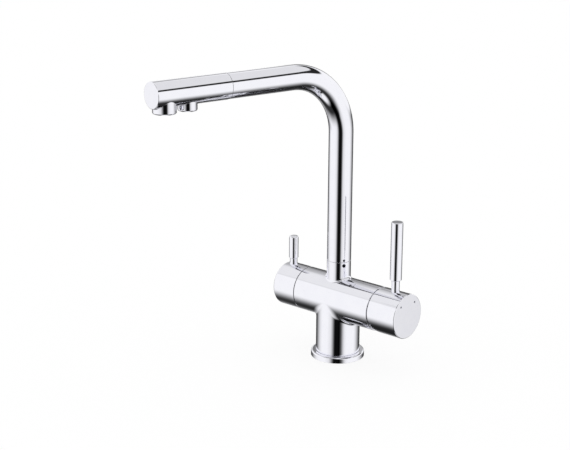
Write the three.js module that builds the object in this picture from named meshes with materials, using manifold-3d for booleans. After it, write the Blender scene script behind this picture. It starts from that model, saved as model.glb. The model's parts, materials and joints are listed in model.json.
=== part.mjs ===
// A three way kitchen tap: one spout, a side mixer for hot and cold water, a side valve for filtered water.
// Millimetres. +Z is up, the deck is z = 0, the spout turns on the Z axis and the user stands at -Y.
// The barrel lies along X, with the mixer handle at its +X end and the filter handle at its -X end.
import * as THREE from "three";
import { mergeVertices } from "three/addons/utils/BufferGeometryUtils.js";
import Module from "manifold-3d";

const wasm = await Module();
wasm.setup();

// ---------------------------------------------------------------- driving dimensions

// Clearances: pieces that rest on each other, pieces that turn in each other, faces that slide.
const seatGap = 0.3;
const runGap = 0.1;
const faceGap = 0.1;
const spotFaceMargin = 0.15;
// How far a cutting tool runs past the face it cuts.
const over = 1;

// Body casting
const pedestalRadius = 22.9;
const barrelRadius = 23;
const barrelAxisHeight = 64;
const barrelLeft = 42;
const barrelRight = 55;
const collarTop = 105;
const pedestalFillet = 3.5;
const pedestalJointDrop = 5; // from the barrel's underside to the brazed joint
const collarFillet = 4.5;
const barrelEdge = 0.4;

// Base ring and its gasket
const baseRingReach = 5.1; // past the pedestal
const baseRingHeight = 6;
const baseRingEdge = 1.8;
const gasketReach = 1.1; // of its inner edge past the pedestal
const gasketWidth = 3;
const gasketThickness = 1.7;

// Inlet plate in the foot of the pedestal
const footWall = 3.1;
const inletPlateThickness = 14;
const portPitchRadius = 12;
const portAngle = 48; // degrees each side of +X
const portRadius = 4.6;
const studPitchRadius = 14;
const studAngle = 108; // degrees each side of +X
const studRadius = 3.4;
const galleryRadius = 3.3;

// Spout
const swivelAtRest = 11.4; // degrees from straight ahead, towards -X
const pipeRadius = 12.5;
const pipeWall = 1.5;
const bendRadius = 62.5;
const spoutHeight = 302;
const headSeam = 140.3;
const headSeamGap = 0.4;
const spoutReach = 222.5;
const headRadius = 12.75;
const headTipEdge = 0.8;
const swivelWasherThickness = 0.5;

// Spout tail, which turns in the collar
const tailStep = 2.6; // its surface under the pipe's
const tailWall = 2.9;
const tailFoot = 3; // below its lowest groove
const tailLand = 2.2; // between its grooves
const tailInPipe = 12;
const oRingSection = 2.4;
const tailGrooveDepth = 1.6;
const bushLength = 4;
const collarScrewDrop = 3.5;
const chamberFloor = 70;

// Filtered water line
const filterTubeRadius = 4;
const filterTubeWall = 1.2;
const filterNippleRadius = 4.5;
const filterNippleBottom = 60.5;
const filterNippleTop = 76;
const filterBarbLength = 8;
const filterBarbWall = 0.9;
const filterGrooveRise = 2;

// Joint between the spout pipe and its head
const spigotLength = 24;
const spigotWall = 1.7;
const spigotGroove = 0.9;
const spigotGrooveLead = 3; // past the head's screw

// Outlets under the head
const mainsOutletRadius = 11.3;
const filterOutletRadius = 9.3;
const outletTipMargin = 2.6; // from the head's tip to the mains outlet
const outletGap = 4.4; // between the two outlets
const outletDrop = 18;
const outletWall = 1.6;
const outletStep = 2;
const aeratorDepth = 8;
const aeratorWall = 1.4;
const aeratorInset = 0.4;
const aeratorLip = 1;
const washerThickness = 1.6;
const washerWidth = 2.6;
const headFloorMargin = 4.7; // of solid head before the filtered outlet
const mixedPassageRise = 8;
const mixedPassageRadius = 3;
const mixedPassageLead = 4;
const mainsJetPitch = 2.7;
const mainsJetRadius = 0.8;
const filterJetPitch = 2.8;
const filterJetRadius = 0.9;

// Mixer cartridge
const cartridgeReach = 25.5; // from its seat to the pivot pin
const flowPivotInset = 1;
const flowPivotDrop = 7;
const flowSwing = 20; // degrees
const reliefMargin = 1.5; // degrees
const cartridgeStep = 1.6; // its surface under the nut's
const cartridgeNeckStep = 1.9;
const cartridgeWall = 1.2;
const cartridgeFloor = 2.5;
const cartridgeShoulder = 46.6;
const cartridgeTop = 60.5;
const cartridgeLip = 1.5;
const cartridgeLipReach = 2;
const cartridgeLipRoot = 0.5;
const sealThickness = 1.2;
const sealInset = 2.5;
const cartridgePortRadius = 2.9;
const cartridgePortInset = 5.9; // from the chamber's wall
const cartridgePortDrop = 5.5;
const cartridgeOutletInset = 4.9; // from the chamber's wall
const fixedDiscThickness = 3.2;
const movingDiscThickness = 3.2;
const movingDiscRoom = 3.4; // between it and the chamber's wall
const mixingPocketRadius = 7;
const mixingPocketDepth = 1.6;
const carrierThickness = 5;
const rotorSlotDrop = 1.2; // from the axis to the slot's top
const stemWidth = 7;
const stemTailRadius = 1.6;
const stemBallRadius = 2.4;
const pivotPinRadius = 1.25;
const pivotPinInset = 0.85; // of its ends in the rotor's flanks
const cartridgeNutStandOut = 1.2;
const nutSlotWidth = 4;
const nutSlotDepth = 1.5;

// Trim ring and dome over the cartridge
const trimRingStep = 0.9; // its surface under the barrel's
const trimRingWidth = 1.7;
const domeStep = 1.5; // its foot under the trim ring
const domeNarrowing = 3.4;
const domeLength = 8;
const domeWall = 1.2;

// Mixer handle
const mixerCapGap = 0.35;
const mixerCapEnd = 90;
const mixerCapEdge = 0.8;
const mixerCapWall = 1.6;
const mixerPocketDepth = 12.2;
const mixerPocketStep = 3;
const mixerPocketRoofRadius = 17;
const stemSocketDepth = 14.8;
const mixerLeverInset = 16; // from the cap's end
const mixerNeckRadius = 4.1;
const mixerNeckRise = 11.7; // above the cap
const mixerLeverRadius = 6;
const mixerGripLength = 61.1;
const mixerLeverEdge = 0.8;
const mixerScrewLead = 5; // past the lever
const indicatorRadius = 1.1;
const indicatorDepth = 0.8;
const indicatorRing = 17;
const indicatorAngle = 41.5; // degrees each side of the lever

// Filter valve
const valveRadius = 9;
const valveSeat = 20;
const valveChamberRadius = 6.4;
const valveChamberDepth = 10;
const valveInletPlace = 27.5;
const valveHex = 11; // half its width across flats
const valveHexLength = 6;
const valveNeckRadius = 6.5;
const valveNeckLength = 5;
const valveFlange = 1;
const valveInletWall = 2;
const valveWindowRadius = 3;
const valvePortRadius = 1.6;
const valvePortRing = 3.6;
const valveSealThickness = 1.3;
const valveSealInner = 3.2;
const valveSealInset = 0.4;
const valveDiscThickness = 2.5;
const spindleRadius = 3;
const spindleTop = 66;
const spindleDogThickness = 2;
const spindleDogWidth = 4;
const spindleDogInset = 1; // of its ends in the chamber
const spindleGrooveRise = 3;
const spindleGrooveWidth = 1.8;
const spindleGrooveDepth = 0.9;
const filterOutletGalleryRadius = 3;

// Filter handle
const filterCapGap = 0.7;
const filterCapEnd = 71.5;
const filterCapEdge = 2;
const filterCapWall = 2.5;
const filterPocketDepth = 14.3;
const filterLeverPlace = 62.5;
const filterNeckRadius = 4;
const filterNeckRise = 6.5; // above the cap
const filterLeverRadius = 5;
const filterGripLength = 24.5;
const filterLeverEdge = 2;

// Levers and screws
const leverStudRadius = 3;
const leverStudLength = 8;
const spotFaceDepth = 0.6;
const grubRadius = 2;
const grubLength = 8;
const hexSocketRadius = 1.15;
const hexSocketDepth = 2;
const collarScrewRadius = 1.7;
const collarScrewAngle = 64; // degrees from -Y towards +X
const headScrewRadius = 1.5;
const headScrewInset = 3.1;

// Facets round a full turn
const coarse = 36;
const medium = 24;
const fine = 12;
const headFacets = 32;
const outletFacets = 28;
const pinFacets = 16;
const jetFacets = 5;
// Steps round the spout's bend, and curve steps of half its section
const pipeSteps = 12;
const pipeFacets = 16;
const filterTubeSteps = 8;
const filterTubeFacets = 6;

// ---------------------------------------------------------------- geometry helpers

const radians = THREE.MathUtils.degToRad;
const vector = (x, y, z) => new THREE.Vector3(x, y, z);

// A closed geometry as a solid that can be joined and cut.
function solidOf(geometry) {
  const bare = geometry.clone();
  bare.deleteAttribute("normal");
  bare.deleteAttribute("uv");
  const merged = mergeVertices(bare, 1e-4);
  const corners = merged.index.array;
  const kept = [];
  for (let i = 0; i < corners.length; i += 3) {
    const [a, b, c] = [corners[i], corners[i + 1], corners[i + 2]];
    if (a !== b && b !== c && c !== a) {
      kept.push(a, b, c);
    }
  }
  const vertProperties = merged.attributes.position.array;
  const triVerts = new Uint32Array(kept);
  return new wasm.Manifold(new wasm.Mesh({ numProp: 3, vertProperties, triVerts }));
}

function geometryOf(solid) {
  const mesh = solid.getMesh();
  const places = new Float32Array(mesh.numVert * 3);
  for (let i = 0; i < mesh.numVert; i++) {
    for (let k = 0; k < 3; k++) {
      places[3 * i + k] = mesh.vertProperties[mesh.numProp * i + k];
    }
  }
  const geometry = new THREE.BufferGeometry();
  geometry.setAttribute("position", new THREE.BufferAttribute(places, 3));
  geometry.setIndex(new THREE.BufferAttribute(new Uint32Array(mesh.triVerts), 1));
  return geometry;
}

function join(first, ...others) {
  return geometryOf(others.reduce((sum, next) => sum.add(solidOf(next)), solidOf(first)));
}

function cut(base, ...tools) {
  return geometryOf(tools.reduce((rest, tool) => rest.subtract(solidOf(tool)), solidOf(base)));
}

// A profile of [radius, height] corners turned round the Z axis.
function turned(profile, segments = coarse) {
  let area = 0;
  profile.forEach(([r, z], i) => {
    const [nextR, nextZ] = profile[(i + 1) % profile.length];
    area += r * nextZ - nextR * z;
  });
  const ordered = area > 0 ? profile : [...profile].reverse();
  const points = [...ordered, ordered[0]].map(([r, z]) => new THREE.Vector2(r, z));
  return new THREE.LatheGeometry(points, segments).rotateX(Math.PI / 2);
}

// A ring or a disc between two heights.
function ring(inner, outer, low, high, segments = coarse) {
  const profile = [[inner, low], [outer, low], [outer, high], [inner, high]];
  return turned(profile, segments);
}

// Corner points of a quarter round of the given radius, centred at [r, z].
function quarter(r, z, radius, fromDegrees, steps = 4) {
  return Array.from({ length: steps + 1 }, (_, i) => {
    const angle = radians(fromDegrees + (90 * i) / steps);
    return [r + radius * Math.cos(angle), z + radius * Math.sin(angle)];
  });
}

// A round bar between two points.
function bar(radius, from, to, segments = fine) {
  const length = from.distanceTo(to);
  const along = to.clone().sub(from).normalize();
  const turn = new THREE.Quaternion().setFromUnitVectors(vector(0, 1, 0), along);
  const geometry = new THREE.CylinderGeometry(radius, radius, length, segments);
  const middle = from.clone().add(to).multiplyScalar(0.5);
  return geometry.applyQuaternion(turn).translate(middle.x, middle.y, middle.z);
}

// A box between two corners.
function box(low, high) {
  const size = high.clone().sub(low);
  const middle = low.clone().add(high).multiplyScalar(0.5);
  const geometry = new THREE.BoxGeometry(size.x, size.y, size.z);
  return geometry.translate(middle.x, middle.y, middle.z);
}

// The two runs of the spout and the bend between them, with a stop at each end of each run.
class SpoutLine extends THREE.Curve {
  constructor(bottom, end, bendSteps) {
    super();
    const centre = vector(bendRadius, 0, spoutHeight - bendRadius);
    this.stops = [{ place: vector(0, 0, bottom), tangent: vector(0, 0, 1) }];
    for (let i = 0; i <= bendSteps; i++) {
      const angle = (Math.PI / 2) * (i / bendSteps);
      const outward = vector(-Math.cos(angle), 0, Math.sin(angle));
      const place = centre.clone().addScaledVector(outward, bendRadius);
      this.stops.push({ place, tangent: vector(Math.sin(angle), 0, Math.cos(angle)) });
    }
    this.stops.push({ place: vector(end, 0, spoutHeight), tangent: vector(1, 0, 0) });
  }

  stop(u) {
    return this.stops[Math.round(u * (this.stops.length - 1))];
  }

  getPointAt(u) {
    return this.stop(u).place.clone();
  }

  getTangentAt(u) {
    return this.stop(u).tangent.clone();
  }

  get steps() {
    return this.stops.length - 1;
  }
}

// A tube along the spout's line.
function spoutTube(outer, inner, bottom, end, bendSteps, segments) {
  const line = new SpoutLine(bottom, end, bendSteps);
  const section = new THREE.Shape().absarc(0, 0, outer, 0, 2 * Math.PI);
  section.holes.push(new THREE.Path().absarc(0, 0, inner, 0, 2 * Math.PI, true));
  const options = { steps: line.steps, extrudePath: line, curveSegments: segments };
  return new THREE.ExtrudeGeometry(section, options);
}

// A closed surface over sections with equal numbers of points: a ring of them, or a row with two ends.
function loft(sections, isRing) {
  const width = sections[0].length;
  const spans = isRing ? sections.length : sections.length - 1;
  const index = [];
  for (let i = 0; i < spans; i++) {
    for (let k = 0; k < width; k++) {
      const [a, b] = [i * width + k, i * width + ((k + 1) % width)];
      const next = ((i + 1) % sections.length) * width;
      const [c, d] = [next + ((k + 1) % width), next + k];
      index.push(a, b, c, a, c, d);
    }
  }
  const last = (sections.length - 1) * width;
  for (let k = 1; !isRing && k < width - 1; k++) {
    index.push(0, k + 1, k, last, last + k, last + k + 1);
  }
  return new THREE.BufferGeometry().setFromPoints(sections.flat()).setIndex(index);
}

// One section of the fillet of an upright post on the barrel: its arc, then its root inside both.
function filletSection(postRadius, filletRadius, turn, steps = 4) {
  const sink = 0.2;
  const rootSink = 2;
  const outward = vector(Math.cos(turn), Math.sin(turn), 0);
  const ball = outward.clone().multiplyScalar(postRadius - sink + filletRadius);
  const barrelReach = barrelRadius - sink + filletRadius;
  ball.z = Math.sqrt(Math.max(barrelReach ** 2 - ball.y ** 2, 0));
  const onPost = outward.clone().multiplyScalar(-filletRadius);
  const onBarrel = vector(0, -ball.y, -ball.z).multiplyScalar(filletRadius / barrelReach);
  const points = [];
  for (let k = 0; k <= steps; k++) {
    points.push(onPost.clone().lerp(onBarrel, k / steps).setLength(filletRadius).add(ball));
  }
  const root = outward.clone().multiplyScalar(postRadius - rootSink);
  root.z = Math.sqrt(Math.max((barrelRadius - rootSink) ** 2 - root.y ** 2, 0));
  return [...points, root];
}

function collarFilletRing() {
  const sections = Array.from({ length: medium }, (_, i) => {
    return filletSection(collarRadius, collarFillet, (2 * Math.PI * i) / medium);
  });
  return loft(sections, true).translate(0, 0, barrelAxisHeight);
}

// Under the barrel the fillet has two halves, at its +X and -X sides. Each fades out where the pedestal's
// surface runs into the barrel's flank.
function pedestalFilletHalf(side) {
  const reach = 54;
  const stations = 12;
  const fade = 1.5;
  const sections = Array.from({ length: stations + 1 }, (_, i) => {
    const turn = radians(reach * ((2 * i) / stations - 1));
    return filletSection(pedestalRadius, pedestalFillet * Math.cos(fade * turn), turn);
  });
  const half = loft(sections, false).rotateX(Math.PI);
  return (side > 0 ? half : half.rotateZ(Math.PI)).translate(0, 0, barrelAxisHeight);
}

// A grub screw along -Z with its hex socket at z = 0.
function grubScrew(radius, length) {
  const body = bar(radius, vector(0, 0, -length), vector(0, 0, 0));
  const socket = bar(hexSocketRadius, vector(0, 0, -hexSocketDepth), vector(0, 0, over), 6);
  return cut(body, socket);
}

// ---------------------------------------------------------------- scene graph

const tap = new THREE.Group();
tap.name = "three_way_tap";

const chrome = { color: 0xd9dbe2, roughness: 0.08, metalness: 1 };
const brass = { color: 0xb5904a, roughness: 0.35, metalness: 1 };
const steel = { color: 0x9a9ca0, roughness: 0.3, metalness: 1 };
const rubber = { color: 0x1c1c1d, roughness: 0.8, metalness: 0 };
const blackPlastic = { color: 0x232427, roughness: 0.5, metalness: 0 };
const whitePlastic = { color: 0xe6e6e2, roughness: 0.45, metalness: 0 };
const ceramic = { color: 0xf3efe6, roughness: 0.25, metalness: 0 };
const greyDot = { color: 0x8e8f98, roughness: 0.5, metalness: 0 };

function addPiece(group, name, geometry, look) {
  const mesh = new THREE.Mesh(geometry, new THREE.MeshStandardMaterial(look));
  mesh.name = name;
  group.add(mesh);
  return mesh;
}

// A group for one side of the barrel: its Z axis points outwards and its X axis up. Its origin is where the
// barrel's axis meets the spout's.
function barrelSide(outward) {
  const group = new THREE.Group();
  const up = vector(0, 0, 1);
  const across = new THREE.Vector3().crossVectors(outward, up);
  group.quaternion.setFromRotationMatrix(new THREE.Matrix4().makeBasis(up, across, outward));
  group.position.z = barrelAxisHeight;
  tap.add(group);
  return group;
}

const mixerSide = barrelSide(vector(1, 0, 0));
const filterSide = barrelSide(vector(-1, 0, 0));
const spout = new THREE.Group();
spout.rotation.z = -radians(90 + swivelAtRest);
tap.add(spout);

// ---------------------------------------------------------------- places worked out from the sizes

const collarRadius = pipeRadius;
const pedestalTop = barrelAxisHeight - barrelRadius - pedestalJointDrop;
const baseRingRadius = pedestalRadius + baseRingReach;
const gasketInner = pedestalRadius + gasketReach;
const inletPlateRadius = pedestalRadius - footWall - seatGap;

const trimRingRadius = barrelRadius - trimRingStep;
const domeRadius = trimRingRadius - domeStep;
const domeMouthRadius = domeRadius - domeNarrowing;
const cartridgeNutRadius = domeRadius - domeWall - seatGap;
const cartridgeRadius = cartridgeNutRadius - cartridgeStep;
const cartridgeNeckRadius = cartridgeRadius - cartridgeNeckStep;
const cartridgeChamber = cartridgeNeckRadius - cartridgeWall;
const sealRadius = cartridgeRadius - sealInset;
const cartridgePortSpread = cartridgeChamber - cartridgePortInset;
const cartridgeOutletRise = cartridgeChamber - cartridgeOutletInset;
const movingDiscRadius = cartridgeChamber - movingDiscRoom;
const rotorRadius = cartridgeChamber - 2 * runGap;
const pivotPinHalf = Math.sqrt(rotorRadius ** 2 - flowPivotDrop ** 2) - pivotPinInset;
const mixerPivotPlace = barrelRight - flowPivotInset;
const cartridgeSeat = mixerPivotPlace - cartridgeReach;
const trimRingEnd = barrelRight + seatGap + trimRingWidth;
const lockGrooveMiddle = collarTop - collarScrewDrop;
const lockGrooveWidth = 2 * (collarScrewRadius + seatGap);
const bushBottom = lockGrooveMiddle - lockGrooveWidth / 2 - tailLand - bushLength;
const upperRingBottom = bushBottom - tailLand - oRingSection;
const lowerRingBottom = upperRingBottom - tailLand - oRingSection;
const tailBottom = lowerRingBottom - tailFoot;
const tailRadius = pipeRadius - tailStep;
const tailBore = tailRadius - tailWall;
const pipeBottom = collarTop + swivelWasherThickness + faceGap;
const collarBore = tailRadius + runGap;
const filterRiserBore = filterNippleRadius + runGap;
const headStart = headSeam + headSeamGap;
const headScrewPlace = headStart + headScrewInset;
const mainsOutletReach = spoutReach - outletTipMargin - mainsOutletRadius;
const filterOutletReach = mainsOutletReach - mainsOutletRadius - outletGap - filterOutletRadius;
const headFloor = filterOutletReach - filterOutletRadius - headFloorMargin;

const capTop = barrelAxisHeight + barrelRadius;
const mixerLeverPlace = mixerCapEnd - mixerLeverInset;
const mixerScrewPlace = mixerLeverPlace + mixerScrewLead;
const mixerNeckTop = capTop + mixerNeckRise;
const mixerLeverTop = mixerNeckTop + mixerGripLength;
const filterNeckTop = capTop + filterNeckRise;
const filterLeverTop = filterNeckTop + filterGripLength;
const valveSealOuter = valveChamberRadius - valveSealInset;
const valveInletHeight = barrelAxisHeight - valveRadius - galleryRadius - valveInletWall;

const portPlaces = {
  hot: polar(portPitchRadius, portAngle),
  cold: polar(portPitchRadius, -portAngle),
  filtered: polar(portPitchRadius, 180),
};
const studPlaces = [polar(studPitchRadius, studAngle), polar(studPitchRadius, -studAngle)];

function polar(radius, degrees) {
  return [radius * Math.cos(radians(degrees)), radius * Math.sin(radians(degrees))];
}

// ---------------------------------------------------------------- body casting

function bodyShell() {
  const edge = barrelEdge;
  const barrelProfile = [
    [0, -barrelLeft],
    [barrelRadius - edge, -barrelLeft],
    [barrelRadius, edge - barrelLeft],
    [barrelRadius, barrelRight - edge],
    [barrelRadius - edge, barrelRight],
    [0, barrelRight],
  ];
  const barrel = turned(barrelProfile).rotateY(Math.PI / 2).translate(0, 0, barrelAxisHeight);
  const stump = ring(0, pedestalRadius, pedestalTop + faceGap, barrelAxisHeight);
  const collar = ring(0, collarRadius, barrelAxisHeight, collarTop, medium);
  return join(
    barrel,
    stump,
    collar,
    collarFilletRing(),
    pedestalFilletHalf(1),
    pedestalFilletHalf(-1),
  );
}

// Hot and cold water rise through the pedestal and run across to the cartridge.
function mixerGalleries() {
  const seat = cartridgeSeat + over;
  const height = barrelAxisHeight - cartridgePortDrop;
  const inlets = ["hot", "cold"].flatMap((name) => {
    const [x, y] = portPlaces[name];
    const side = Math.sign(y) * cartridgePortSpread;
    const rise = bar(galleryRadius, vector(x, y, inletPlateThickness), vector(x, y, height));
    const run = bar(cartridgePortRadius, vector(x, side, height), vector(seat, side, height));
    return [rise, run];
  });
  const outletHeight = barrelAxisHeight + cartridgeOutletRise;
  const outletStart = vector(collarBore - 2 * over, 0, outletHeight);
  const outlet = bar(galleryRadius, outletStart, vector(seat, 0, outletHeight));
  return [...inlets, outlet];
}

// Filtered water rises on the left, enters the valve from below and leaves along the barrel's axis.
function filterGalleries() {
  const [x, y] = portPlaces.filtered;
  const inward = -valveInletPlace;
  return [
    bar(galleryRadius, vector(x, y, inletPlateThickness), vector(x, y, valveInletHeight + over)),
    bar(
      galleryRadius,
      vector(x + over, y, valveInletHeight),
      vector(inward - over, y, valveInletHeight),
    ),
    bar(galleryRadius, vector(inward, y, valveInletHeight), vector(inward, y, barrelAxisHeight)),
    bar(
      filterOutletGalleryRadius,
      vector(-valveSeat - over, 0, barrelAxisHeight),
      vector(0, 0, barrelAxisHeight),
    ),
    bar(
      filterRiserBore,
      vector(0, 0, filterNippleBottom - over),
      vector(0, 0, chamberFloor + over),
      medium,
    ),
  ];
}

function barrelBore(radius, from, to) {
  return bar(radius, vector(from, 0, barrelAxisHeight), vector(to, 0, barrelAxisHeight), coarse);
}

function collarScrewHole() {
  const hole = bar(collarScrewRadius + seatGap, vector(0, 0, 0), vector(0, -collarRadius - over, 0));
  return hole.rotateZ(radians(collarScrewAngle)).translate(0, 0, lockGrooveMiddle);
}

const bodyCasting = cut(
  bodyShell(),
  ring(0, collarBore, chamberFloor, collarTop + over, medium),
  barrelBore(cartridgeRadius + seatGap, cartridgeSeat, barrelRight + over),
  barrelBore(cartridgeNutRadius + seatGap, cartridgeShoulder, barrelRight + over),
  barrelBore(valveRadius + seatGap, -valveSeat, -barrelLeft - over),
  collarScrewHole(),
  ...mixerGalleries(),
  ...filterGalleries(),
);
addPiece(tap, "body_casting", bodyCasting, chrome);

// ---------------------------------------------------------------- pedestal and its foot

const pedestal = cut(
  ring(0, pedestalRadius, 0, pedestalTop),
  ring(0, inletPlateRadius + seatGap, -over, inletPlateThickness + seatGap),
  ...Object.values(portPlaces).map(([x, y]) => {
    return bar(galleryRadius, vector(x, y, inletPlateThickness), vector(x, y, pedestalTop + over));
  }),
);
addPiece(tap, "pedestal", pedestal, chrome);

function inletPlate() {
  const plate = ring(0, inletPlateRadius, 0, inletPlateThickness);
  const through = (radius) => ([x, y]) => {
    return bar(radius, vector(x, y, -over), vector(x, y, inletPlateThickness + over));
  };
  const ports = Object.values(portPlaces).map(through(portRadius));
  const studs = studPlaces.map(through(studRadius));
  return cut(plate, ...ports, ...studs);
}

function baseRing() {
  const inner = pedestalRadius + seatGap;
  const edgeCentre = [baseRingRadius - baseRingEdge, baseRingHeight - baseRingEdge];
  const grooveTop = gasketThickness + seatGap;
  const profile = [
    [inner, 0],
    [gasketInner - seatGap, 0],
    [gasketInner - seatGap, grooveTop],
    [gasketInner + gasketWidth + seatGap, grooveTop],
    [gasketInner + gasketWidth + seatGap, 0],
    [baseRingRadius, 0],
    ...quarter(...edgeCentre, baseRingEdge, 0),
    [inner, baseRingHeight],
  ];
  return turned(profile);
}

addPiece(tap, "inlet_plate", inletPlate(), brass);
addPiece(tap, "base_ring", baseRing(), chrome);
addPiece(tap, "base_gasket", ring(gasketInner, gasketInner + gasketWidth, 0, gasketThickness), rubber);

// ---------------------------------------------------------------- collar

const collarScrewLength = collarRadius - (tailRadius - tailGrooveDepth) - 2 * seatGap;
const collarScrew = grubScrew(collarScrewRadius, collarScrewLength).rotateX(Math.PI / 2);
collarScrew.translate(0, -(collarRadius - seatGap), 0).rotateZ(radians(collarScrewAngle));
addPiece(tap, "collar_grub_screw", collarScrew, steel).position.z = lockGrooveMiddle;

const swivelWasher = ring(tailRadius + seatGap, collarRadius - seatGap, 0, swivelWasherThickness, medium);
addPiece(tap, "swivel_washer", swivelWasher, blackPlastic).position.z = collarTop;

// ---------------------------------------------------------------- spout

const pipeBore = pipeRadius - pipeWall;
const pipe = spoutTube(pipeRadius, pipeBore, pipeBottom, headSeam, pipeSteps, pipeFacets);
addPiece(spout, "spout_pipe", pipe, chrome);

// The tail's grooves from the bottom up: two O-rings, the bush and the lock groove of the collar's screw.
const tailGrooves = {
  lowerRing: [lowerRingBottom, oRingSection],
  upperRing: [upperRingBottom, oRingSection],
  bush: [bushBottom, bushLength],
  lock: [lockGrooveMiddle - lockGrooveWidth / 2, lockGrooveWidth],
};

function spoutTail() {
  const profile = [[tailBore, tailBottom], [tailRadius, tailBottom]];
  for (const [low, width] of Object.values(tailGrooves)) {
    const floor = tailRadius - tailGrooveDepth;
    profile.push([tailRadius, low], [floor, low], [floor, low + width], [tailRadius, low + width]);
  }
  const shoulder = pipeBottom + seatGap;
  profile.push([tailRadius, shoulder], [pipeBore - seatGap, shoulder]);
  profile.push([pipeBore - seatGap, pipeBottom + tailInPipe], [tailBore, pipeBottom + tailInPipe]);
  return turned(profile, medium);
}

// A seal or bearing ring lying in one of the tail's grooves.
function tailRing([low, width]) {
  const floor = tailRadius - tailGrooveDepth + runGap;
  return ring(floor, tailRadius, low + faceGap, low + width - faceGap, medium);
}

addPiece(spout, "spout_tail", spoutTail(), brass);
addPiece(spout, "tail_o_ring_lower", tailRing(tailGrooves.lowerRing), rubber);
addPiece(spout, "tail_o_ring_upper", tailRing(tailGrooves.upperRing), rubber);
addPiece(spout, "tail_bush", tailRing(tailGrooves.bush), whitePlastic);

// ---------------------------------------------------------------- filtered water line in the spout

const filterTubeBore = filterTubeRadius - filterTubeWall;
const filterGroove = [filterNippleBottom + filterGrooveRise, oRingSection];
const filterBarbBore = filterTubeBore - runGap - filterBarbWall;

function filterNipple() {
  const floor = filterNippleRadius - tailGrooveDepth;
  const [low, width] = filterGroove;
  const barb = filterTubeBore - runGap;
  const profile = [
    [filterBarbBore, filterNippleBottom],
    [filterNippleRadius, filterNippleBottom],
    [filterNippleRadius, low],
    [floor, low],
    [floor, low + width],
    [filterNippleRadius, low + width],
    [filterNippleRadius, filterNippleTop],
    [barb, filterNippleTop],
    [barb, filterNippleTop + filterBarbLength],
    [filterBarbBore, filterNippleTop + filterBarbLength],
  ];
  return turned(profile, fine);
}

const filterRingFloor = filterNippleRadius - tailGrooveDepth + runGap;
const filterRing = ring(
  filterRingFloor,
  filterNippleRadius,
  filterGroove[0] + faceGap,
  filterGroove[0] + filterGroove[1] - faceGap,
  fine,
);
const filterTubeEnd = filterOutletReach - filterOutletRadius + outletWall + over;
const filterTube = spoutTube(
  filterTubeRadius,
  filterTubeBore,
  filterNippleTop + seatGap,
  filterTubeEnd,
  filterTubeSteps,
  filterTubeFacets,
);
addPiece(spout, "filter_nipple", filterNipple(), brass);
addPiece(spout, "filter_nipple_o_ring", filterRing, rubber);
addPiece(spout, "filter_tube", filterTube, whitePlastic);

// ---------------------------------------------------------------- spout head

const head = new THREE.Group();
head.position.z = spoutHeight;
spout.add(head);

const spigotRadius = pipeBore - seatGap;
const spigotStart = headSeam - spigotLength / 2;
const spigotEnd = headStart + spigotLength / 2;
const spigotGroovePlace = headScrewPlace + spigotGrooveLead;

// Along the head: a turned profile of [radius, reach] laid along +X.
const alongHead = (profile, segments) => turned(profile, segments).rotateY(Math.PI / 2);

function spoutHead() {
  const edgeCentre = [headRadius - headTipEdge, spoutReach - headTipEdge];
  const shell = alongHead(
    [[0, headStart], [headRadius, headStart], ...quarter(...edgeCentre, headTipEdge, 0), [0, spoutReach]],
    headFacets,
  );
  const mainsBoss = bar(
    mainsOutletRadius,
    vector(mainsOutletReach, 0, -outletDrop),
    vector(mainsOutletReach, 0, 0),
    outletFacets,
  );
  const filterBoss = bar(
    filterOutletRadius,
    vector(filterOutletReach, 0, -outletDrop),
    vector(filterOutletReach, 0, 0),
    outletFacets,
  );
  const outletBore = (reach, radius, top) => {
    return bar(radius, vector(reach, 0, -outletDrop - over), vector(reach, 0, top), medium);
  };
  const recessTop = aeratorDepth + washerThickness - outletDrop;
  const axisBore = (radius, from, to) => bar(radius, vector(from, 0, 0), vector(to, 0, 0), medium);
  return cut(
    join(shell, mainsBoss, filterBoss),
    axisBore(pipeBore, headStart - over, spigotEnd + seatGap),
    axisBore(spigotRadius - spigotWall, headStart, headFloor),
    axisBore(filterTubeRadius + runGap, headFloor - over, filterOutletReach),
    bar(
      mixedPassageRadius,
      vector(headFloor - mixedPassageLead, 0, mixedPassageRise),
      vector(mainsOutletReach, 0, mixedPassageRise),
    ),
    outletBore(mainsOutletReach, mainsOutletRadius - outletWall, recessTop),
    outletBore(mainsOutletReach, mainsOutletRadius - outletWall - outletStep, mixedPassageRise),
    outletBore(filterOutletReach, filterOutletRadius - outletWall, recessTop),
    outletBore(filterOutletReach, filterOutletRadius - outletWall - outletStep, filterTubeRadius - over),
    bar(
      headScrewRadius + seatGap,
      vector(headScrewPlace, 0, -headRadius - over),
      vector(headScrewPlace, 0, 0),
    ),
  );
}

function headSpigot() {
  const floor = spigotRadius - spigotGroove;
  const inner = spigotRadius - spigotWall;
  const profile = [[inner, spigotStart], [spigotRadius, spigotStart]];
  const screwGroove = [headScrewPlace - headScrewRadius - seatGap, 2 * (headScrewRadius + seatGap)];
  for (const [low, width] of [screwGroove, [spigotGroovePlace, oRingSection]]) {
    profile.push([spigotRadius, low], [floor, low], [floor, low + width], [spigotRadius, low + width]);
  }
  profile.push([spigotRadius, spigotEnd], [inner, spigotEnd]);
  return alongHead(profile, medium);
}

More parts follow.
